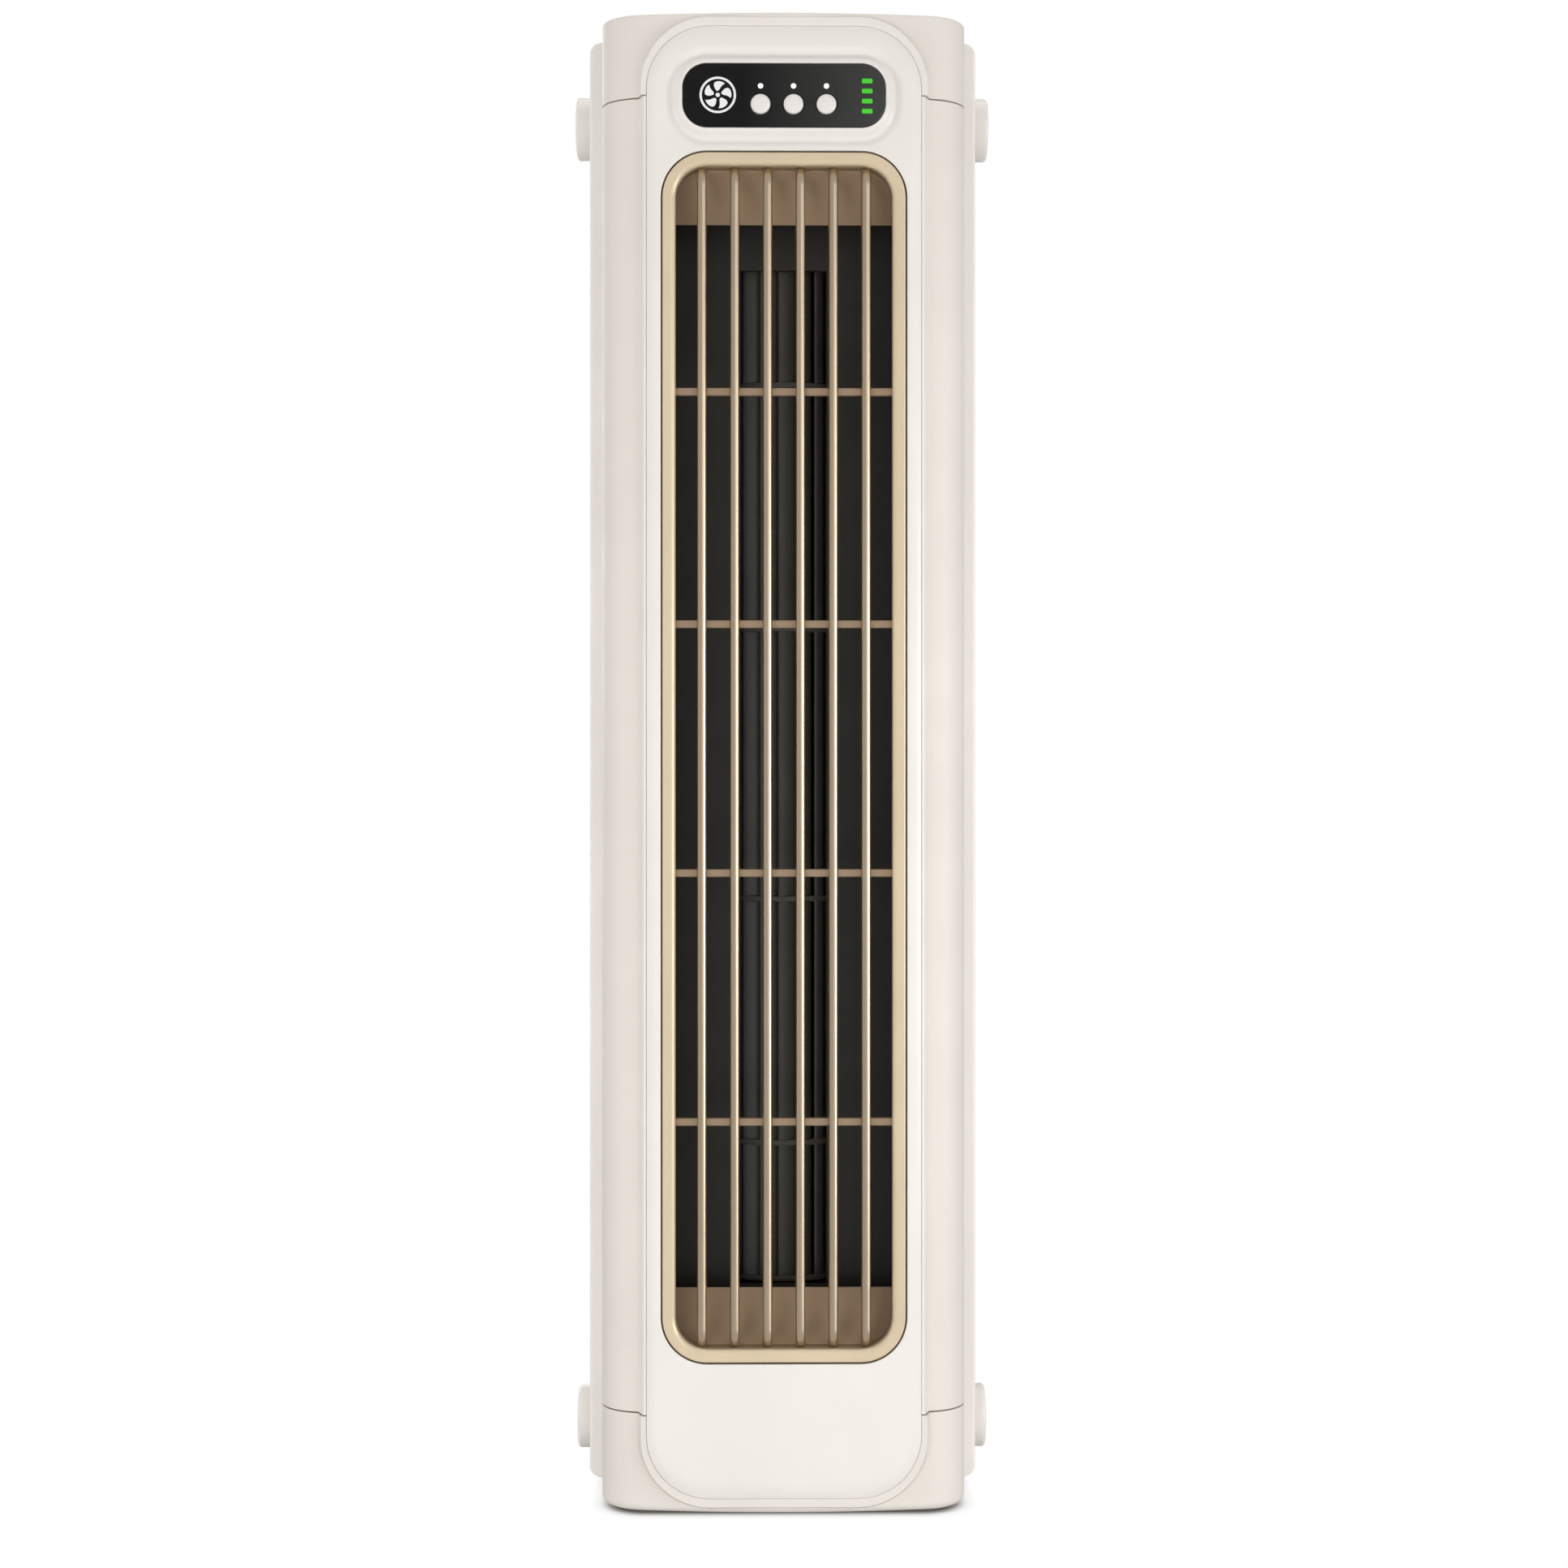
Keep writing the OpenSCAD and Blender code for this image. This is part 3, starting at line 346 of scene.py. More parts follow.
class Graph:
    """A material's nodes, with short ways to make the ones used here."""

    def __init__(self):
        self.material = bpy.data.materials.new("material")
        self.material.use_nodes = True
        self.tree = self.material.node_tree
        self.shader = self.tree.nodes["Principled BSDF"]
        self.place = self.tree.nodes.new("ShaderNodeTexCoord").outputs["Object"]

    def put(self, socket, value):
        """Links another node's output to a socket, or sets the socket to a plain value."""
        if isinstance(value, bpy.types.NodeSocket):
            self.tree.links.new(value, socket)
        else:
            socket.default_value = value

    def node(self, kind, inputs, **settings):
        """A node with its settings, and with outputs or plain values put into its sockets."""
        made = self.tree.nodes.new("ShaderNode" + kind)
        for key, value in settings.items():
            setattr(made, key, value)
        for key, value in inputs.items():
            self.put(made.inputs[key], value)
        return made

    def noise(self, size, detail=2.0, stretch=(1, 1, 1)):
        """Noise whose features are about size millimetres across, drawn out along an axis."""
        scale = [1 / (size * MM * s) for s in stretch]
        scaled = self.node("Mapping", {"Scale": scale, "Vector": self.place}).outputs["Vector"]
        return self.node("TexNoise", {"Scale": 1.0, "Detail": detail, "Vector": scaled}).outputs["Fac"]

    def between(self, value, low, high, start=0.3, end=0.7):
        """A number that goes from low to high as value goes from start to end."""
        limits = {"From Min": start, "From Max": end, "To Min": low, "To Max": high}
        return self.node("MapRange", {"Value": value, **limits}).outputs["Result"]

    def mix(self, value, a, b):
        """A colour between a and b. Either may be a colour or another node's output."""
        colours = {6: a, 7: b}  # this node's two colour sockets; its mixed colour is output 2
        return self.node("Mix", {"Factor": value, **colours}, data_type="RGBA").outputs[2]

    def bump(self, height, depth, strength=1.0, over=None):
        inputs = {"Height": height, "Strength": strength, "Distance": depth * MM}
        if over is not None:
            inputs["Normal"] = over
        return self.node("Bump", inputs).outputs["Normal"]

    def surface(self, colour, rough, normal, **others):
        """Fills the shader's sockets and gives the material."""
        others.update(Base_Color=colour, Roughness=rough, Normal=normal)
        for key, value in others.items():
            self.put(self.shader.inputs[key.replace("_", " ")], value)
        return self.material


def shade(colour, factor):
    """A linear colour made lighter or darker."""
    return tuple(min(1.0, c * factor) for c in colour[:3]) + (1.0,)


def plastic(rgb, rough, grain=0.16, depth=0.006, tone=0.03, coat=0.0, coat_rough=0.2):
    """Moulded plastic: fine spark-eroded grain, and slow changes of tone and gloss."""
    g = Graph()
    colour = linear(rgb)
    clouds = g.noise(38, 3)
    specks = g.noise(grain * 2.5, 1)
    body = g.mix(g.between(clouds, 0, 1), shade(colour, 1 - tone), shade(colour, 1 + tone))
    body = g.mix(g.between(specks, 0, 0.35), body, shade(colour, 1 - 1.5 * tone))
    waves = g.bump(g.noise(26, 1), 0.05, 0.25)
    return g.surface(body, g.between(g.noise(9, 3), rough - 0.05, rough + 0.06),
                     g.bump(g.noise(grain, 2), depth, 0.6, waves),
                     IOR=1.49, Coat_Weight=coat, Coat_Roughness=coat_rough)


def painted_gold(rgb, sheen):
    """Champagne lacquer: fine metallic flake under a clear satin coat."""
    g = Graph()
    colour = linear(rgb)
    flake = g.node("TexVoronoi", {"Scale": 1 / (0.14 * MM), "Vector": g.place})
    spots = flake.outputs["Distance"]
    body = g.mix(g.between(g.noise(30, 3), 0, 1), shade(colour, 0.96), shade(colour, 1.03))
    body = g.mix(g.between(spots, 0.3, 0, 0, 0.4), body, shade(colour, 1.06))
    waves = g.bump(g.noise(18, 1), 0.03, 0.06)
    return g.surface(body, g.between(g.noise(6, 3), 0.29, 0.36), g.bump(spots, 0.0008, 0.4, waves),
                     Metallic=sheen, IOR=1.5, Coat_Weight=0.25, Coat_Roughness=0.2)


def metal(rgb, rough, brush=(1, 1, 1), dull=0.12):
    """Bare metal with fine tool marks drawn out along an axis and faint tarnish."""
    g = Graph()
    colour = linear(rgb)
    marks = g.noise(0.12, 3, brush)
    body = g.mix(g.between(g.noise(5, 4), 0, 1), shade(colour, 1 - dull), colour)
    return g.surface(body, g.between(marks, rough - 0.08, rough + 0.12), g.bump(marks, 0.004, 0.5),
                     Metallic=1.0)


def rubber(rgb):
    """Soft moulded rubber, dusty on its high spots."""
    g = Graph()
    dust = g.noise(1.8, 5)
    body = g.mix(g.between(dust, 0, 0.5, 0.45, 0.75), linear(rgb), linear((96, 94, 92)))
    return g.surface(body, g.between(dust, 0.62, 0.82), g.bump(g.noise(0.25, 3), 0.02, 0.7), IOR=1.45)


def smoked_glass():
    """Glossy black window with a painted reflection: its colour is a little lighter to the right."""
    g = Graph()
    split = g.node("SeparateXYZ", {"Vector": g.place})
    half = PANEL_HALF[0] * MM
    # painted reflection: the colour ramps from near black at the left to dark grey at the right, standing
    # in for the lights' reflection
    painted_reflection_ramp = g.between(split.outputs["X"], 0, 1, -0.4 * half, half)
    smoke_and_painted_reflection = g.mix(painted_reflection_ramp, linear((8, 8, 8)), linear((62, 62, 60)))
    smoke_and_painted_reflection = g.mix(g.between(g.noise(7, 4), 0, 0.2), smoke_and_painted_reflection, linear((22, 21, 20)))
    return g.surface(smoke_and_painted_reflection, g.between(g.noise(4, 5), 0.14, 0.24), g.bump(g.noise(12, 1), 0.02, 0.15),
                     IOR=1.36)


def lamp(rgb, strength):
    """A lit light guide: milky plastic that glows, a little brighter in its middle."""
    g = Graph()
    colour = linear(rgb)
    glow = g.mix(g.between(g.noise(0.9, 2), 0, 1), shade(colour, 0.9), colour)
    return g.surface(glow, g.between(g.noise(0.5, 2), 0.25, 0.35), g.bump(g.noise(0.2, 2), 0.003, 0.4),
                     Emission_Color=glow, Emission_Strength=strength)


def print_ink(rgb):
    """Screen-printed ink, slightly grainy."""
    g = Graph()
    colour = linear(rgb)
    grain = g.noise(0.15, 2)
    body = g.mix(g.between(grain, 0, 1), shade(colour, 0.93), colour)
    return g.surface(body, g.between(grain, 0.42, 0.55), g.bump(grain, 0.004, 0.5))


def woven_mesh():
    """Fine black nylon weave: two sets of threads, over and under each other."""
    thread = 0.9
    g = Graph()
    wave = {"Scale": 1 / (thread * MM * pi), "Distortion": 0.2, "Vector": g.place}
    threads = {}
    for k, direction in enumerate("XZ"):
        made = g.node("TexWave", wave, bands_direction=direction)
        threads[k] = made.outputs["Fac"]
    weave = g.node("Math", threads, operation="MULTIPLY").outputs["Value"]
    body = g.mix(weave, linear((44, 43, 42)), linear((9, 9, 9)))
    return g.surface(body, g.between(weave, 0.5, 0.85, 0, 1), g.bump(weave, -0.15, 0.8))


def circuit():
    """Green solder mask with raised tracks and a few pads."""
    g = Graph()
    turned = g.node("Mapping", {"Rotation": (pi / 2, 0, 0), "Vector": g.place})
    inks = {"Color1": (20, 92, 52), "Color2": (24, 104, 60), "Mortar": (46, 140, 84)}
    inputs = {key: linear(rgb) for key, rgb in inks.items()}
    inputs.update({"Scale": 1 / (5 * MM), "Mortar Size": 0.03, "Vector": turned.outputs["Vector"]})
    tracks = g.node("TexBrick", inputs)
    return g.surface(tracks.outputs["Color"], g.between(g.noise(2, 3), 0.25, 0.4),
                     g.bump(tracks.outputs["Fac"], 0.03, 0.6), Coat_Weight=0.3)


MATERIALS = {
    # a lighter copy of shell_cream for the rear shell: painted light that brightens its collars beside the
    # front housing
    "rear_cream_painted_light": plastic((240, 235, 229), 0.42, coat=0.15, coat_rough=0.3),
    "shell_cream": plastic((225, 218, 210), 0.5, coat=0.05, coat_rough=0.4),
    # a lighter copy of shell_cream for the lips: painted light for the light that a lip catches
    "lip_cream_painted_light": plastic((231, 225, 218), 0.45, coat=0.1, coat_rough=0.35),
    "bezel_ivory": plastic((231, 226, 220), 0.36, grain=0.12, coat=0.25),
    "handle_cream": plastic((236, 231, 225), 0.42, coat=0.15, coat_rough=0.3),
    "grille_gold": painted_gold((221, 202, 171), 0.22),
    "bar_gold": painted_gold((214, 196, 169), 0.95),
    # a darker tan for the cross ribs of the gold grille: painted shade for their recess behind the bars
    "rib_tan_painted_shade": plastic((168, 144, 117), 0.5, depth=0.01, tone=0.05),
    "baffle_tan": plastic((213, 183, 149), 0.5, depth=0.01, tone=0.05),
    "duct_black": plastic((60, 58, 53), 0.5, depth=0.01, tone=0.08),
    "impeller_black": plastic((88, 86, 80), 0.42, depth=0.01, tone=0.08),
    "filter_mesh": woven_mesh(),
    "panel_black": smoked_glass(),
    "symbol_white": print_ink((238, 238, 238)),
    "light_white": lamp((240, 240, 236), 0.25),
    "light_green": lamp((60, 178, 40), 0.42),
    "button_ivory": plastic((229, 224, 218), 0.34, grain=0.12, coat=0.3),
    "screw_steel": metal((182, 184, 188), 0.32),
    "shaft_steel": metal((198, 200, 204), 0.24, brush=(1, 1, 12)),
    "motor_steel": metal((176, 178, 182), 0.34, brush=(1, 1, 10)),
    "socket_steel": metal((190, 192, 196), 0.28, brush=(1, 8, 1)),
    "bush_bronze": metal((188, 142, 84), 0.36, dull=0.25),
    "winding_copper": metal((196, 118, 62), 0.3, brush=(6, 6, 1), dull=0.3),
    "magnet_grey": plastic((62, 62, 68), 0.5, grain=0.1, depth=0.01, tone=0.1),
    "dark_rubber": rubber((42, 42, 44)),
    "board_green": circuit(),
    "switch_black": plastic((32, 32, 33), 0.4, tone=0.08),
    "cell_blue": plastic((40, 92, 158), 0.28, depth=0.003, coat=0.4),
    "cable_grey": plastic((158, 154, 148), 0.5, depth=0.008, tone=0.06),
}
for material_name, made_material in MATERIALS.items():
    made_material.name = material_name


# ---- Housing ----

def add_housing_wall(shape, levels, back_y, is_hole=None, lid=False):
    """The bowed front wall through (height, inset) levels, with its inner face."""
    outer = []
    inner = []
    for z, inset in levels:
        inside_z = min(max(z, FLOOR_Z), ROOF_Z)
        outer.append([(x, y, z) for x, y in front_plan(inset, back_y)])
        inner.append([(x, y, inside_z) for x, y in front_plan(inset + WALL, back_y)])
    shape.sheet(outer, inner, is_hole, lid)


def opening(plan, heights, half, is_open):
    """A hole test for a wall: no further out than half, at the heights that is_open picks."""
    def is_hole(row, column):
        reach = max(abs(plan[column][0]), abs(plan[column + 1][0]))
        return reach < half and is_open((heights[row] + heights[row + 1]) / 2)
    return is_hole


def lip_section(flat):
    """Pairs (offset from the bezel's edge, depth) round the lip's section. Its flat ends at flat."""
    gap = 0.04
    edge = 0.15
    foot = 2.5
    fall = 3.7
    steps = 8
    section = [(gap, LIP_Y + fall), (gap, LIP_Y + 2 * edge)]
    section += [(gap + edge * run, LIP_Y + edge * (1 - rise)) for run, rise in quarter(3)]
    for k in range(steps + 1):
        share = k / steps
        section.append((flat + (foot - flat) * share, LIP_Y + fall * share * share * (3 - 2 * share)))
    return section


def add_lip_end(shape, seam_z, upper):
    """The lip round the bezel's upper or lower end, as far as the seam."""
    lines = []
    for offset, y in lip_section(flat=1.4):
        reach = offset * LIP_END_W / LIP_W
        line = round_rect(BEZEL_HALF[0] + offset, BEZEL_HALF[1] + reach, BEZEL_R + offset, 0, BEZEL_MID, 18)
        half = len(line) // 2
        line = line[:half] if upper else line[half:]
        lines.append(facing([(line[0][0], seam_z), *line, (line[-1][0], seam_z)], y))
    shape.loft([list(row) for row in zip(*lines)])


def add_lip_side(shape, side, low, high):
    """The straight part of the lip between the seams."""
    section = lip_section(flat=0.6)
    shape.loft([[(side * (BEZEL_HALF[0] + offset), y, z) for offset, y in section] for z in (low, high)])


def shell_piece(node, part, shape, **options):
    """A lip catches more light than the wall beside it, so a shell's lip is a piece of its own, and its
    callers give it a lighter copy of the cream: painted light.
    """
    piece(node + part, shape, "shell_cream", node, 0.22, 3, **options)


def build_front_shell():
    window_half = 33.8
    window_gap = 0.7
    low, high = SHELL_LOW.z, SHELL_HIGH.z
    window_low = GRILLE_LOW.z - window_gap
    window_high = GRILLE_HIGH.z + window_gap
    pod_low = PANEL_LOW.z - POD_GAP
    heights = [low, low + 4, window_low, 120, 200, 280, window_high, pod_low, high]
    window = opening(front_plan(0, SKIRT_Y), heights, window_half,
                     lambda z: window_low < z < window_high or z > pod_low)
    shape = Shape()
    add_housing_wall(shape, [(z, 0) for z in heights], SKIRT_Y, window)
    shell_piece("front_shell", "_skin", shape)
    lip = Shape()
    for side in (1, -1):
        add_lip_side(lip, side, low, high)
    shell_piece("front_shell", "_lip", lip, material="lip_cream_painted_light")


def build_top_cap():
    notch_half = 28.4
    seam = SHELL_HIGH.z + SEAM
    pod_high = PANEL_HIGH.z + POD_GAP
    levels = [(seam, 0), (pod_high, 0)]
    levels += [(TOP_Z - TOP_EDGE + TOP_EDGE * rise, TOP_EDGE * run) for run, rise in quarter()]
    levels.append((TOP_Z, TOP_EDGE + LID_RIM))
    heights = [level[0] for level in levels]
    notch = opening(front_plan(0, CAP_BACK_Y), heights, notch_half, lambda z: z < pod_high)
    shape = Shape()
    add_housing_wall(shape, levels, CAP_BACK_Y, notch, lid=True)
    shell_piece("top_cap", "_skin", shape)
    lip = Shape()
    add_lip_end(lip, seam, upper=True)
    shell_piece("top_cap", "_lip", lip, material="lip_cream_painted_light")


def build_base_cap():
    shape = Shape()
    seam = SHELL_LOW.z - SEAM
    edge_z = FOOT_H + BASE_EDGE
    levels = [(seam, 0), (seam - 4, 0), (edge_z + 4, 0)]
    levels += [(edge_z - BASE_EDGE * rise, BASE_EDGE * run) for run, rise in quarter()]
    levels.append((FOOT_H, BASE_EDGE + LID_RIM))
    add_housing_wall(shape, levels, CAP_BACK_Y, lid=True)
    add_lip_end(shape, seam, upper=False)
    shell_piece("base_cap", "_skin", shape)


def rear_row(y, half, drop, r=COLLAR_CORNER, lift=0.0):
    """Outline of the rear housing at depth y, with its ends pulled in by drop."""
    half_h = (TOP_Z - FOOT_H - lift) / 2 - drop
    return facing(round_rect(half, half_h, r, 0, (TOP_Z + FOOT_H + lift) / 2, steps=8), y)


def rear_outer_rows():
    """Rows from the mouth, over the collar and the tub, to the back."""
    mouth_edge = 0.4
    front_r = 0.7
    back_r = 1.2
    end_edge = 0.3
    foot = 0.8
    rows = [rear_row(SPLIT_Y + mouth_edge, REAR_MOUTH, ROOF_T),
            rear_row(SPLIT_Y, REAR_MOUTH + mouth_edge, ROOF_T - mouth_edge)]
    for run, rise in quarter(8):
        half = COLLAR_HALF - front_r * (1 - rise)
        rows.append(rear_row(SPLIT_Y + front_r * run, half, end_edge * (1 - rise), lift=COLLAR_LIFT))
    for run, rise in quarter():
        y = COLLAR_BACK_Y - back_r * (1 - rise)
        rows.append(rear_row(y, COLLAR_HALF - back_r * run, 0, lift=COLLAR_LIFT))
    for run, rise in quarter(4):
        rows.append(rear_row(COLLAR_BACK_Y + foot * run, TUB_HALF + foot * (1 - rise), 0,
                             lift=COLLAR_LIFT * (1 - rise)))
    corner_y = BACK_Y - REAR_CORNER
    for k in range(11):
        turn = pi / 2 * k / 10
        y = corner_y + REAR_CORNER * sin(turn)
        past = max(0.0, y - (BACK_Y - COLLAR_CORNER)) / COLLAR_CORNER
        drop = COLLAR_CORNER * (1 - sqrt(max(0.0, 1 - past * past)))
        rows.append(rear_row(y, TUB_HALF - REAR_CORNER * (1 - cos(turn)), drop))
    return rows + [rear_row(BACK_Y, TUB_HALF - REAR_CORNER - 1, COLLAR_CORNER + 1)]


def rear_inner_rows():
    """Rows from the inside of the back to the mouth."""
    chamfer = 6
    mouth_depth = 3
    half = TUB_HALF - WALL
    shoulder = REAR_MOUTH + 1.5
    back = BACK_Y - WALL
    collar = COLLAR_BACK_Y - WALL
    mouth = SPLIT_Y + mouth_depth
    plan = ((back, half - chamfer), (back - chamfer, half), (collar, half), (collar, shoulder),
            (mouth, shoulder), (mouth, REAR_MOUTH))
    return [rear_row(y, x, ROOF_T, r=1) for y, x in plan]


def cut_through_back(shell, outline):
    cutter = Shape()
    cutter.loft([facing(outline, BACK_Y - CUT_IN), facing(outline, BACK_Y + CUT_OUT)])
    cut(shell, cutter)


def cut_rear_openings(shell):
    """The intake's window, the charging port, the screw wells and the bores for the four pins."""
    play = 0.2
    corner = 1.2
    port = (4.7, 1.8, 1.7)  # half width, half height and corner
    mid, half = face_box("intake_grille")[2:]
    cut_through_back(shell, round_rect(half[0] + play, half[1] + play, corner, 0, mid, 6))
    socket = middle("usb_socket")
    cut_through_back(shell, round_rect(*port, socket.x, socket.z, 6))
    wells = Shape()
    for x, z in SHELL_SCREWS:
        wells.lathe(along_y(x, z), [(BACK_Y - CUT_IN, WELL_R), (BACK_Y + CUT_OUT, WELL_R)], "caps", 48)
    cut(shell, wells)
    bores = Shape()
    for knob in ("handle_knob_right", "stand_knob_right"):
        pivot = middle(knob)
        for side in (1, -1):
            walls = [(TUB_HALF - CUT_IN, PIN_BORE_R), (TUB_HALF + CUT_OUT, PIN_BORE_R)]
            bores.lathe(along_x(pivot.y, pivot.z, side), walls, "caps", 48)
    cut(shell, bores)


def screw_posts():
    """The hollow posts that the housing screws sit in."""
    wall = 0.7
    back = BACK_Y - 0.7
    front = SCREW_SEAT_Y - 7
    profile = [(back, WELL_R), (SCREW_SEAT_Y, WELL_R), (SCREW_SEAT_Y, SCREW_R), (front, SCREW_R),
               (front, WELL_R + wall), (back, WELL_R + wall)]
    posts = Shape()
    for x, z in SHELL_SCREWS:
        posts.lathe(along_y(x, z), profile, "join", 48)
    return posts


def build_rear_shell():
    shape = Shape()
    outside = shape.loft(rear_outer_rows(), "open")
    within = shape.loft(rear_inner_rows(), "open")
    shape.bridge(within[-1], outside[0])
    shape.faces.append(tuple(outside[-1]))
    shape.faces.append(tuple(reversed(within[0])))
    shell = add_object(shape, "rear_shell_skin")
    cut_rear_openings(shell)
    join(shell, add_object(screw_posts(), "posts"))
    # the rear shell takes the lighter copy of the shell's cream, which is painted light
    finish_piece(shell, "shell_cream", "rear_shell", 0.3, 3, material="rear_cream_painted_light")


def join(obj, other):
    """Adds another object's mesh to obj."""
    work = bmesh.new()
    work.from_mesh(obj.data)
    work.from_mesh(other.data)
    for face in work.faces:
        face.smooth = True
    work.to_mesh(obj.data)
    work.free()
    bpy.data.objects.remove(other)


def build_intake():
    slats = 12
    pitch = 4.6
    slot = 3.0
    border = 2.8
    bridge_half = 27.0
    bridge_y = 40.6
    bridge_heights = (112, 150, 188, 226, 264)
    low, high = span("intake_grille")
    edges = [low.x]
    for k in range(slats):
        centre = (k - (slats - 1) / 2) * pitch
        edges += [centre - slot / 2, centre + slot / 2]
    edges.append(high.x)
    levels = [low.z, low.z + border, high.z - border, high.z]
    outer = [[(x, high.y, z) for x in edges] for z in levels]
    inner = [[(x, low.y, z) for x in edges] for z in levels]
    shape = Shape()
    shape.sheet(outer, inner, lambda row, column: row == 1 and column % 2 == 1)
    for z in bridge_heights:
        section = round_rect(0.8, 1.0, 0.3, bridge_y, z, 3)
        shape.loft(stretched(section, -bridge_half, bridge_half))
    piece("intake_grille_slats", shape, "shell_cream", "intake_grille", 0.45, 3)


def build_dust_filter():
    """A flat rim with broken edges, and the cloth across it."""
    rim = 2
    edge = 0.15
    corner = 3
    cloth = (0.4, 0.7)
    low, high, mid, half = face_box("dust_filter")
    thick = high.y - low.y

    def outline(inset, depth):
        return face_ring(half, corner, mid, -inset, low.y + depth, 5)

    profile = [(0, edge), (edge, 0), (rim - edge, 0), (rim, edge), (rim, thick - edge),
               (rim - edge, thick), (edge, thick), (0, thick - edge)]
    shape = Shape()
    shape.loft([outline(inset, depth) for inset, depth in profile], "join")
    shape.loft([outline(rim / 2, depth) for depth in cloth])
    piece("dust_filter_mesh", shape, "filter_mesh", "dust_filter")


# ---- Bezel, grille and baffles ----

def bezel_ring(share, y, side=2.6, end=4.3):
    """Bezel outline at depth y, pulled in by a share of its rounding, which is wider at the two ends."""
    return facing(round_rect(BEZEL_HALF[0] - side * share, BEZEL_HALF[1] - end * share,
                             BEZEL_R - 3.4 * share, 0, BEZEL_MID, 14), y)


def grille_ring(inset, y):
    return face_ring(GRILLE_HALF, GRILLE_R, GRILLE_MID, -inset, y)


def panel_ring(grow, y):
    return face_ring(PANEL_HALF, PANEL_R, PANEL_MID, grow, y)


def bezel_face_rows(root_y):
    """Rows from the bezel's root, over its crisp edge and its slow rounding, to its flat face."""
    roll = 1.0
    edge = 0.1
    edge_depth = 0.35
    sunk = roll * (1 - edge) ** 2
    rows = [bezel_ring(0, root_y)]
    for run, rise in quarter(5):
        rows.append(bezel_ring(edge * run, FACE_Y + sunk + edge_depth * (1 - rise)))
    for k in range(1, 11):
        share = edge + (1 - edge) * k / 10
        rows.append(bezel_ring(share, FACE_Y + roll * (1 - share) ** 2))
    return rows + [bezel_ring(1.06, FACE_Y)]


def bezel_window_rows(root_y):
    """Rows round the grille's window, from the flat face inwards."""
    edge = 0.2
    hole = -GRILLE_GAP
    rows = [grille_ring(hole - edge - 0.15, FACE_Y)]
    rows += [grille_ring(hole - edge * (1 - run), FACE_Y + edge * run) for run in (0, 0.15, 0.5, 1)]
    return rows + [grille_ring(hole, root_y)]


def pod_rows(root_y):
    """Rows round the display panel: a shallow moat, the pillow's slope, its rim and its recess."""
    moat = 0.75
    moat_w = 1.8
    slope = 2.4
    rise = 1.12
    rim = 0.5
    recess = 0.1
    rows = [panel_ring(rim + slope + moat_w * (1 - k / 5),
                       FACE_Y + moat * (1 - cos(pi * k / 5)) / 2) for k in range(5)]
    for k in range(11):
        share = k / 10
        lift = (rise + moat) * (1 - cos(pi * share)) / 2
        rows.append(panel_ring(rim + slope * (1 - share), FACE_Y + moat - lift))
    crest = FACE_Y - rise
    rows += [panel_ring(0.25, crest), panel_ring(0.14, crest + 0.06), panel_ring(recess, crest + 0.2)]
    return rows + [panel_ring(recess, root_y)]


def build_bezel():
    root_y = NOSE_Y + 3
    shape = Shape()
    outer = shape.loft(bezel_face_rows(root_y), "open")
    window = shape.loft(bezel_window_rows(root_y), "open")
    pod = shape.loft(pod_rows(root_y), "open")
    shape.plate([outer[-1], window[0], pod[0]])
    shape.plate([outer[0], window[-1], pod[-1]])
    piece("front_bezel_panel", shape, "bezel_ivory", "front_bezel")


def build_grille_frame():
    outer_r = 0.5
    inner_r = 1.3
    back_y = GRILLE_HIGH.y
    profile = [(0, back_y)]
    profile += [(outer_r * run, FACE_Y + outer_r * (1 - rise)) for run, rise in quarter(5)]
    profile += [(GRILLE_RIM - inner_r * (1 - rise), FACE_Y + inner_r * run + 0.05)
                for run, rise in quarter(6)]
    profile.append((GRILLE_RIM, back_y))
    shape = Shape()
    shape.loft([grille_ring(inset, y) for inset, y in profile], "join")
    piece("outlet_grille_frame", shape, "grille_gold", "outlet_grille")


def build_grille_bars():
    """Six upright bars with round fronts, which bend back into the frame at their two ends."""
    bars = 6
    pitch = 8.3
    half = 1.2
    bend = 5.0
    bend_depth = 4.4
    sunk = 0.6
    overlap = 0.3
    back_y = GRILLE_HIGH.y - 1
    low = GRILLE_LOW.z + GRILLE_RIM - overlap
    high = GRILLE_HIGH.z - GRILLE_RIM + overlap
    stations = [(low + bend * run, bend_depth * (1 - rise)) for run, rise in quarter(7)]
    stations += [(high - (z - low), back) for z, back in reversed(stations)]
    shape = Shape()
    for k in range(bars):
        x = (k - (bars - 1) / 2) * pitch
        rows = []
        for z, back in stations:
            crown = arc(x, FACE_Y + sunk + back + half, half, 0, -180, 10)
            plan = [(x + half, back_y), *crown, (x - half, back_y)]
            rows.append([(px, py, z) for px, py in plan])
        shape.loft(rows)
    piece("outlet_grille_bars", shape, "grille_gold", "outlet_grille", material="bar_gold")


def build_grille_ribs():
    reach = GRILLE_HALF[0] - GRILLE_RIM + 0.4
    shape = Shape()
    for z in CROSS_BARS:
        section = round_rect(1.0, 1.0, 0.4, GRILLE_HIGH.y - 1.5, z, 4)
        shape.loft(stretched(section, -reach, reach))
    # the ribs are part of the gold grille; their darker tan is painted shade for the recess behind the bars
    piece("outlet_grille_ribs", shape, "baffle_tan", "outlet_grille", material="rib_tan_painted_shade")


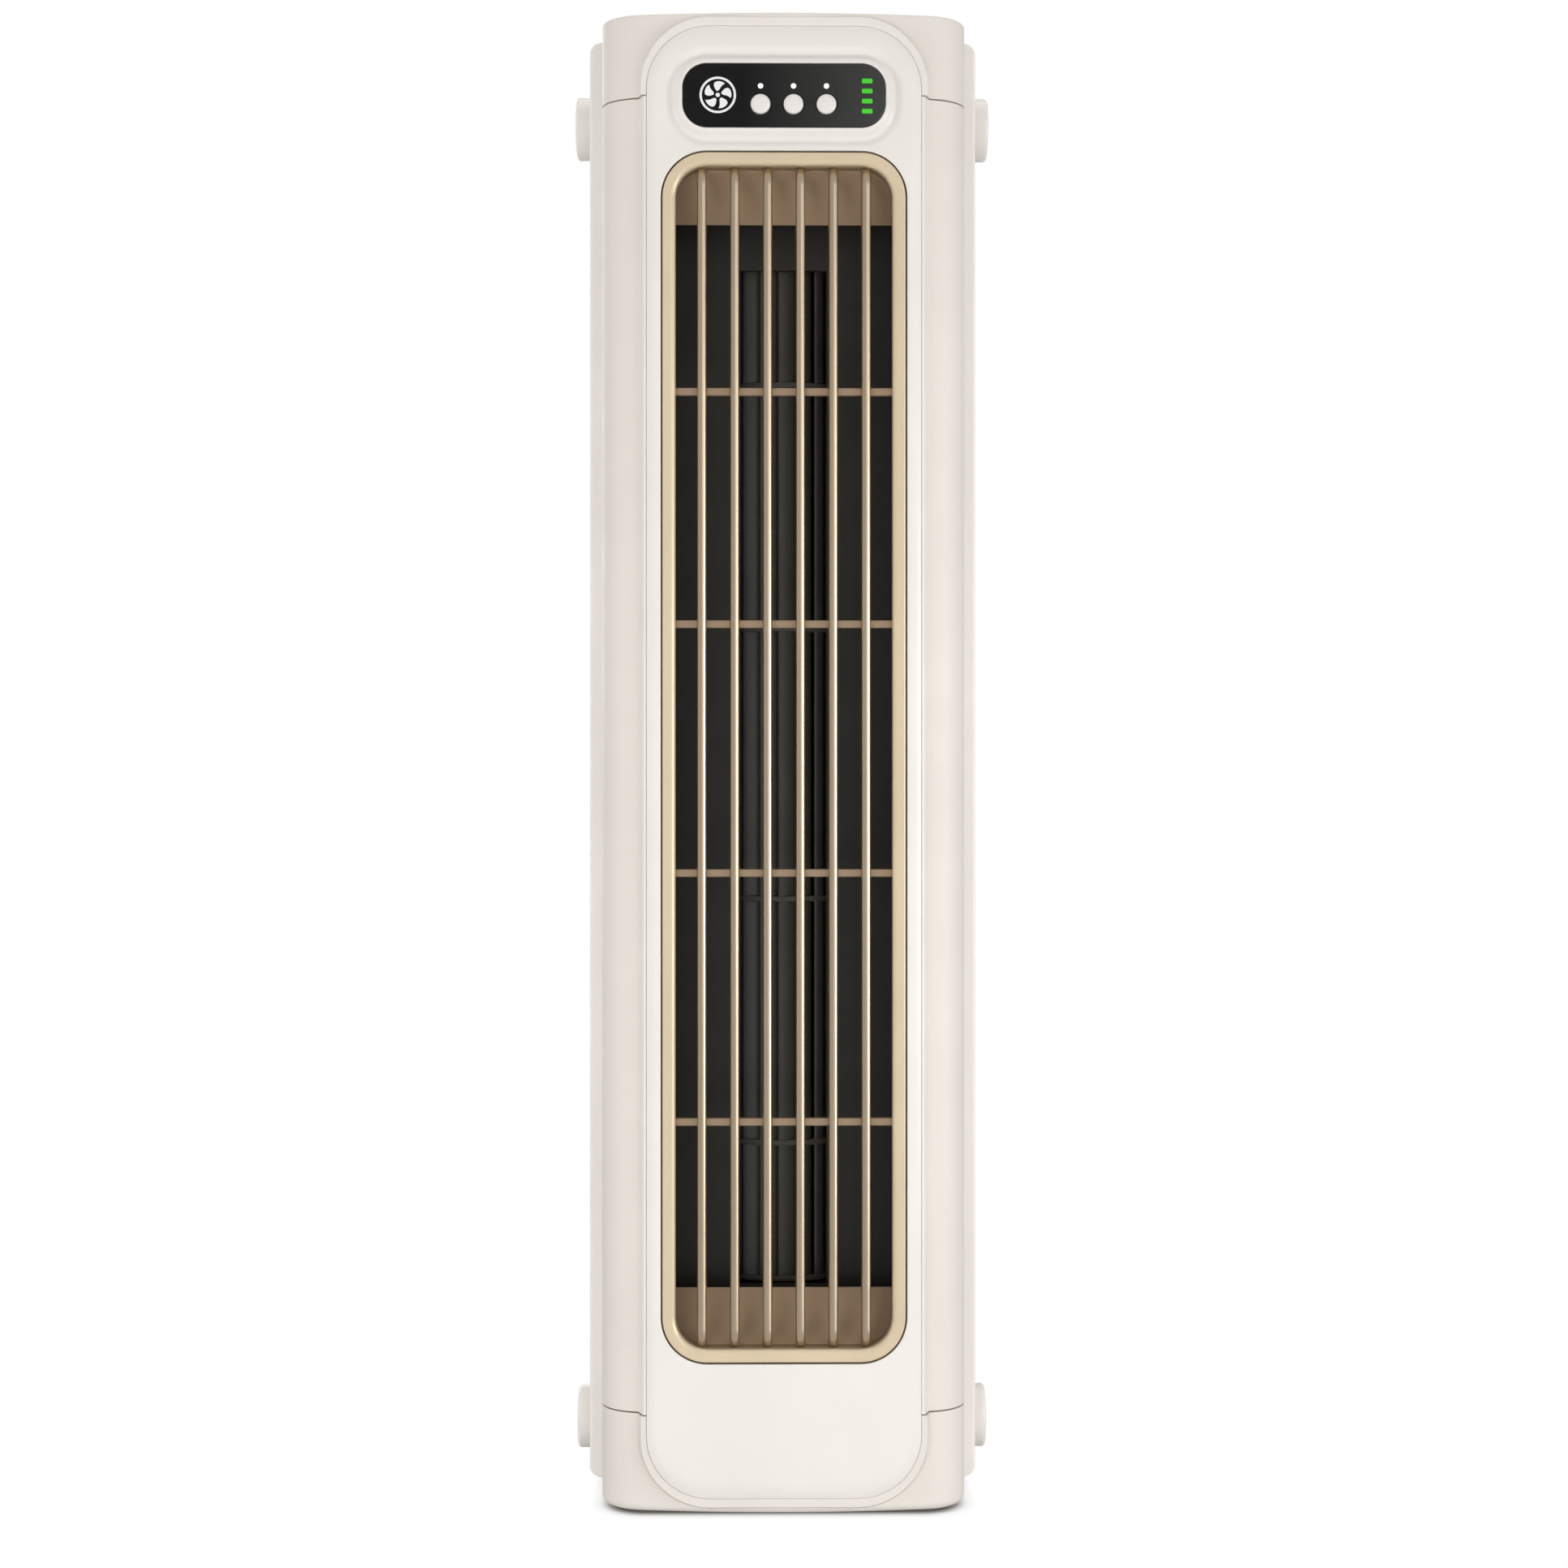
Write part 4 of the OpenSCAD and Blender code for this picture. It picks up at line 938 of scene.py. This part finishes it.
def build_baffle(node, outer_z, inner_z, back_z):
    """A gently hollow slope from outer_z at the grille in to inner_z at the duct."""
    low, high = span(node)
    steps = 8
    sag = 1.1
    slope = []
    for k in range(steps + 1):
        share = k / steps
        y = low.y + (high.y - low.y) * share
        away = copysign(sag, outer_z - inner_z)
        slope.append((y, outer_z + (inner_z - outer_z) * share + away * 4 * share * (1 - share)))
    outline = slope + [(high.y, back_z), (low.y, outer_z + (outer_z - inner_z) / 6)]
    shape = Shape()
    shape.loft(stretched(outline, low.x, high.x))
    piece(node + "_slope", shape, "baffle_tan", node, 0.35, 3)


# ---- Control panel ----

def build_panel():
    edge = 0.3
    hole = 2.75
    front = PANEL_LOW.y
    shape = Shape()
    rows = [panel_ring(0, PANEL_HIGH.y)]
    rows += [panel_ring(-edge * run, front + edge * (1 - rise)) for run, rise in quarter(5)]
    rows.append(panel_ring(-2 * edge, front))
    outer = shape.loft(rows, "open")
    fronts = [outer[-1]]
    backs = [outer[0]]
    profile = [(front, hole + 0.3), (front, hole + 0.12), (front + 0.12, hole), (PANEL_HIGH.y, hole)]
    for node in BUTTONS:
        made = shape.lathe(through(node), profile, sides=40)
        fronts.append(made[0])
        backs.append(made[-1])
    shape.plate(fronts)
    shape.plate(backs)
    piece("display_window", shape, "panel_black", "display_panel")


def build_button(node):
    """A domed cap, the flange that keeps it behind the panel, and the stem to its switch."""
    r = 2.5
    dome = 1.0
    flange_w = 0.8
    flange = (4.4, 5.1)
    stem_r = 1.6
    low, high = span(node)
    profile = [(low.y, 0)]
    for k in range(1, 13):
        turn = pi / 2 * k / 12
        profile.append((low.y + dome * (1 - cos(turn) ** 0.8), r * sin(turn) ** 0.62))
    front, back = (low.y + depth for depth in flange)
    profile += [(front, r), (front, r + flange_w), (back, r + flange_w), (back, stem_r),
                (high.y, stem_r), (high.y, 0)]
    shape = Shape()
    shape.lathe(through(node), profile)
    piece(node + "_cap", shape, "button_ivory", node, body=node)


def build_level_lights():
    half_w, half_h, corner = 1.35, 0.6, 0.35
    pitch = 2.53
    front = PANEL_LOW.y
    low, high = span("level_lights")
    mid_x = (low.x + high.x) / 2
    shape = Shape()
    for k in range(4):
        z = low.z + half_h + k * pitch
        rows = []
        for grow, y in ((0, front + 0.4), (0, front - 0.02), (-0.06, front - 0.08), (-0.3, front - 0.1)):
            outline = round_rect(half_w + grow, half_h + grow, corner + grow * 0.9, mid_x, z, 5)
            rows.append(facing(outline, y))
        shape.loft(rows)
    piece("level_light_bars", shape, "light_green", "level_lights")


def build_indicator_lights():
    r = 0.7
    front = PANEL_LOW.y
    height = middle("indicator_lights").z
    profile = [(front + 0.4, 0), (front + 0.4, r), (front - 0.02, r), (front - 0.1, 0.58),
               (front - 0.14, 0.3), (front - 0.15, 0)]
    shape = Shape()
    for node in BUTTONS:
        shape.lathe(along_y(middle(node).x, height), profile, sides=32)
    piece("indicator_light_dots", shape, "light_white", "indicator_lights")


def build_symbol():
    """A ring with five swept blades and a hub, printed on the panel."""
    blades = 5
    lift = 0.05
    line = 0.6
    taper = 0.02
    hub_r = 0.55
    low, high = span("fan_symbol")
    centre = middle("fan_symbol")
    face = PANEL_LOW.y
    radius = (high.x - low.x) / 2
    ring = [(face, radius), (face - lift, radius - taper), (face - lift, radius - line + taper),
            (face, radius - line)]
    hub = [(face, 0), (face, hub_r), (face - lift, hub_r - taper), (face - lift, 0)]
    shape = Shape()
    shape.lathe(through("fan_symbol"), ring, "join", 96)
    shape.lathe(through("fan_symbol"), hub, "open", 32)
    blade = interpolate_bezier((-0.2, 0.95), (-0.95, 1.7), (-1.6, 3.35), (0.1, 3.42), 11)[:-1]
    blade += interpolate_bezier((0.1, 3.42), (0.7, 3.44), (1.3, 3.25), (1.8, 2.85), 6)[:-1]
    blade += interpolate_bezier((1.8, 2.85), (1.05, 2.5), (0.6, 1.8), (0.22, 0.92), 9)[:-1]
    for k in range(blades):
        c, s = cos(-2 * pi * k / blades), sin(-2 * pi * k / blades)
        outline = [(centre.x + x * c - z * s, centre.z + x * s + z * c) for x, z in blade]
        shape.loft([facing(outline, face), facing(outline, face - lift)])
    piece("fan_symbol_print", shape, "symbol_white", "fan_symbol")


# ---- Impeller ----

def build_impeller():
    blades = 24
    bow_r = 4.7
    half_t = 0.4
    disc = 1.6
    disc_w = 6.5
    edge = 0.25
    hub_r = 6
    hub_h = 8
    shaft_r = 2.0
    low, high = span("impeller")
    axis_y = (low.y + high.y) / 2
    wheel_r = high.x
    centre = (wheel_r - 0.1 - bow_r - half_t, 0.0)
    section = arc(*centre, bow_r + half_t, 2, 92, 14) + arc(*centre, bow_r - half_t, 90, 4, 14)
    shape = Shape()
    for k in range(blades):
        turn = radians(360 * k / blades - 4)
        c, s = cos(turn), sin(turn)
        plan = [(x * c - y * s, axis_y + x * s + y * c) for x, y in section]
        shape.loft([[(x, y, z) for x, y in plan] for z in (low.z + 0.5, high.z - 0.5)])
    for z in DISCS:
        inner = hub_r - 0.1 if z in (DISCS[0], DISCS[-1]) else wheel_r - disc_w
        profile = [(z, inner), (z, wheel_r - edge), (z + edge, wheel_r), (z + disc - edge, wheel_r),
                   (z + disc, wheel_r - edge), (z + disc, inner)]
        shape.lathe(along_z(0, axis_y), profile, "join", 96)
    hub = [(high.z - hub_h, shaft_r), (high.z - hub_h, hub_r - 1), (high.z, hub_r), (high.z, shaft_r)]
    shape.lathe(along_z(0, axis_y), hub, "join", 48)
    piece("impeller_wheel", shape, "impeller_black", "impeller", body="impeller_assembly")


# ---- Handle and stand ----

def arm_outline(pivot, tip, inset):
    """An arm in Y and Z: a round eye, a smaller round tip and the straight edges that touch both."""
    eye_r, tip_r = EYE_R - inset, TIP_R - inset
    lean = degrees(atan2(tip[1] - pivot[1], tip[0] - pivot[0]))
    apart = hypot(tip[0] - pivot[0], tip[1] - pivot[1])
    gape = degrees(acos((eye_r - tip_r) / apart))
    return (arc(*pivot, eye_r, lean + gape, lean + 360 - gape, 28)
            + arc(*tip, tip_r, lean - gape, lean + gape, 24))


def build_bail(node, kind):
    """A folded handle or stand: two arms beside the tub, a crossbar behind it and two knobs."""
    thick = 3.4
    bail_rise = 49.6
    outer_r, inner_r = 1.0, 0.5
    flush = 0.3
    knobs = (kind + "_knob_left", kind + "_knob_right")
    high = span(node)[1]
    reach = high.x
    pivot = (middle(knobs[0]).y, middle(knobs[0]).z)
    rise = bail_rise if pivot[1] < TOP_Z / 2 else -bail_rise
    tip = (high.y - TIP_R, pivot[1] + rise)
    stations = [(reach - thick, inner_r + flush)]
    stations += [(reach - thick + inner_r * (1 - up), inner_r * run) for run, up in reversed(quarter(4))]
    stations += [(reach - outer_r + outer_r * up, outer_r * run) for run, up in quarter(6)]
    stations.append((reach, outer_r + flush))
    shape = Shape()
    for side in (1, -1):
        shape.loft([[(side * x, y, z) for y, z in arm_outline(pivot, tip, inset)] for x, inset in stations])
    bar_face = high.y - thick
    half_open = degrees(acos((bar_face - tip[0]) / TIP_R))
    section = arc(*tip, TIP_R, -half_open, half_open, 24)
    section = section[1:-1] + [(bar_face, section[-1][1] - 0.3), (bar_face, section[0][1] + 0.3)]
    ends = reach - outer_r
    shape.loft(stretched(section, *[-ends + 2 * ends * k / 12 for k in range(13)]))
    piece(node + "_bail", shape, "handle_cream", node, body=node)
    for knob in knobs:
        build_knob(knob, reach, node)


def build_knob(node, arm_x, body):
    """A round cap with a shallow dish, and the hollow pin that it turns on."""
    rim = 1.0
    dish = 0.35
    pin_r = 3.0
    bore_r = 1.3
    low, high = span(node)
    side = 1 if high.x > 0 else -1
    outer = max(abs(low.x), abs(high.x))
    pin_end = min(abs(low.x), abs(high.x))
    centre = middle(node)
    r = (high.z - low.z) / 2
    profile = [(outer - dish, 0), (outer - dish, 4.6), (outer - 0.28, 5.2), (outer - 0.1, 5.8)]
    profile += [(outer - rim * run, r - rim * (1 - rise)) for run, rise in quarter(7)]
    profile += [(arm_x + 0.35, r - 0.05), (arm_x + 0.1, r - 0.25), (arm_x, r - 0.5), (arm_x, pin_r),
                (pin_end, pin_r), (pin_end, bore_r), (arm_x, bore_r), (arm_x, 0)]
    shape = Shape()
    shape.lathe(along_x(centre.y, centre.z, side), profile, sides=96)
    piece(node + "_cap", shape, "handle_cream", node, body=body)


def build_feet():
    r = 5.9
    places = ((32, -26), (34, 30))
    low, high = span("rubber_feet")
    profile = [(low.z, 0), (low.z, r - 1.2), (low.z + 0.12, r - 0.6), (low.z + 0.5, r), (high.z, r),
               (high.z, 0)]
    shape = Shape()
    for side in (1, -1):
        for x, y in places:
            shape.lathe(along_z(side * x, y), profile, sides=48)
    piece("rubber_foot_pads", shape, "dark_rubber", "rubber_feet")


# ---- CAD nodes that keep their shape ----

# each slot's nodes, with the width in millimetres that their edges are rounded by
KEPT = {
    "duct_black": {"air_duct": 0.35, "scroll_wall": 0.2, "stabiliser": 0.3},
    "screw_steel": {"shell_screws": 0.12, "duct_screws": 0.1, "motor_screws": 0.12,
                    "board_screws": 0.1, "handle_screws": 0.2, "stand_screws": 0.2},
    "shaft_steel": {"impeller_shaft": 0.2, "motor_shaft": 0.2},
    "motor_steel": {"motor_can": 0.4, "motor_bearings": 0.2, "motor_bracket": 0.25},
    "bush_bronze": {"top_bush": 0.2},
    "dark_rubber": {"bush_holder": 0.3, "drive_hub": 0.4, "motor_dampers": 0.3, "pivot_washers": 0.05},
    "magnet_grey": {"motor_rotor": 0.3},
    "winding_copper": {"motor_stator": 0.2},
    "board_green": {"control_board": 0.15, "charge_board": 0.15},
    "switch_black": {"tact_switches": 0.2, "battery_holder": 0.4},
    "cell_blue": {"battery_cells": 0.4},
    "socket_steel": {"usb_socket": 0.06},
    "cable_grey": {"ribbon_cable": 0.15},
}


def dress_kept_nodes():
    for slot, widths in KEPT.items():
        for node, width in widths.items():
            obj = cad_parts[node]
            obj.data.materials.clear()
            obj.data.materials.append(MATERIALS[slot])
            soften(obj, width, weld=True)


# ---- Camera, light and floor ----

def build_camera():
    distance = 700  # in front of the foremost point
    aside = -8.0
    data = bpy.data.cameras.new("camera")
    data.lens = 63.6
    data.shift_y = -0.0129
    data.clip_end = 20.0
    camera = bpy.data.objects.new("camera", data)
    camera.location = Vector((aside, NOSE_Y - distance, TOP_Z / 2)) * MM
    camera.rotation_euler = (pi / 2, 0, atan(aside / distance))
    bpy.context.scene.collection.objects.link(camera)
    bpy.context.scene.camera = camera
    view = bpy.context.scene.view_settings
    view.view_transform = "Standard"
    view.look = "None"


def build_world():
    """A white background that lights the fan more softly than it looks."""
    soft = 0.46
    world = bpy.data.worlds.new("studio")
    bpy.context.scene.world = world
    world.use_nodes = True
    nodes = world.node_tree.nodes
    link = world.node_tree.links.new
    lit = nodes["Background"]
    seen = nodes.new("ShaderNodeBackground")
    for background, strength in ((lit, soft), (seen, 1.0)):
        background.inputs["Color"].default_value = (1, 1, 1, 1)
        background.inputs["Strength"].default_value = strength
    choose = nodes.new("ShaderNodeMixShader")
    link(nodes.new("ShaderNodeLightPath").outputs["Is Camera Ray"], choose.inputs["Fac"])
    link(lit.outputs["Background"], choose.inputs[1])
    link(seen.outputs["Background"], choose.inputs[2])
    link(choose.outputs["Shader"], nodes["World Output"].inputs["Surface"])


def add_light(name, place, size, power, shine=True):
    """An area light aimed at the fan's middle, in metres and watts. Without shine it gives no glints."""
    data = bpy.data.lights.new(name, "AREA")
    data.shape = "RECTANGLE"
    data.size, data.size_y = size
    data.energy = power
    light = bpy.data.objects.new(name, data)
    light.location = place
    aim = Vector((0, 0, TOP_Z / 2 * MM)) - Vector(place)
    light.rotation_euler = aim.to_track_quat("-Z", "Y").to_euler()
    light.visible_camera = False
    light.visible_glossy = shine
    bpy.context.scene.collection.objects.link(light)


def build_lights():
    small = (0.5, 0.4)
    add_light("key", (0.60, -1.25, 0.35), (0.6, 0.6), 1.30)
    add_light("fill", (-0.50, -1.20, 0.12), small, 2.30, shine=False)
    add_light("left", (-0.95, -0.50, 0.15), small, 3.30, shine=False)
    add_light("right", (0.95, -0.45, 0.15), small, 4.10)
    add_light("bounce", (0.10, -0.55, 0.04), (0.8, 0.15), 1.10, shine=False)
    add_light("top", (0.0, 0.25, 1.6), (1.2, 1.2), 8.0)
    add_light("back", (-0.5, 1.5, 0.6), (1.2, 1.0), 8.0)


def paper_sweep():
    """White studio paper with a painted shadow, dark where the fan stands, and fading into the bright
    background beside it.
    """
    g = Graph()
    g.material.name = "paper"
    # where the painted shadow and the fade start and end, past the outline of the fan
    shadow = (-2, 0.6)
    blend_zone = (-3.5, 3.0)
    straight = ((FRONT_HALF - CORNER_R) * MM, (-NOSE_Y - CORNER_R) * MM, 0)
    beside = g.place
    for operation, operand in (("ABSOLUTE", (0, 0, 0)), ("SUBTRACT", straight), ("MAXIMUM", (0, 0, 0))):
        step = g.node("VectorMath", {0: beside, 1: operand}, operation=operation)
        beside = step.outputs["Vector"]
    distance = g.node("VectorMath", {0: beside}, operation="LENGTH").outputs["Value"]
    paper = g.mix(g.noise(60, 3), linear((250, 250, 250)), linear((246, 246, 246)))
    # painted contact shadow: under and just round the fan, the paper's colour turns to a dark grey
    painted_shadow_mask = g.between(distance, 0, 1, *[(CORNER_R + edge) * MM for edge in shadow])
    g.put(g.shader.inputs["Base Color"], g.mix(painted_shadow_mask, linear((120, 116, 111)), paper))
    g.put(g.shader.inputs["Roughness"], 0.9)
    fade = g.between(distance, 0, 1, *[(CORNER_R + edge) * MM for edge in blend_zone])
    glow = g.node("Emission", {})
    blend = g.node("MixShader", {0: fade, 1: g.shader.outputs["BSDF"], 2: glow.outputs["Emission"]})
    g.put(g.tree.nodes["Material Output"].inputs["Surface"], blend.outputs["Shader"])
    return g.material


def build_floor():
    reach = 4000
    shape = Shape()
    corners = ((-reach, -reach, 0), (reach, -reach, 0), (reach, reach, 0), (-reach, reach, 0))
    shape.plate([shape.ring(corners)])
    floor = add_object(shape, "floor")
    floor.data.materials.append(paper_sweep())
    floor.visible_diffuse = False
    floor.visible_glossy = False


build_camera()
build_world()
build_lights()
build_floor()
build_front_shell()
build_top_cap()
build_base_cap()
build_rear_shell()
build_intake()
build_dust_filter()
build_bezel()
build_grille_frame()
build_grille_bars()
build_grille_ribs()
build_baffle("upper_baffle", GRILLE_HIGH.z - BAFFLE_GAP, inner_z=329.8, back_z=337.8)
build_baffle("lower_baffle", GRILLE_LOW.z + BAFFLE_GAP, inner_z=54.2, back_z=46.2)
build_panel()
build_level_lights()
build_indicator_lights()
build_symbol()
for button in BUTTONS:
    build_button(button)
build_impeller()
build_bail("carry_handle", "handle")
build_bail("rear_stand", "stand")
build_feet()
dress_kept_nodes()
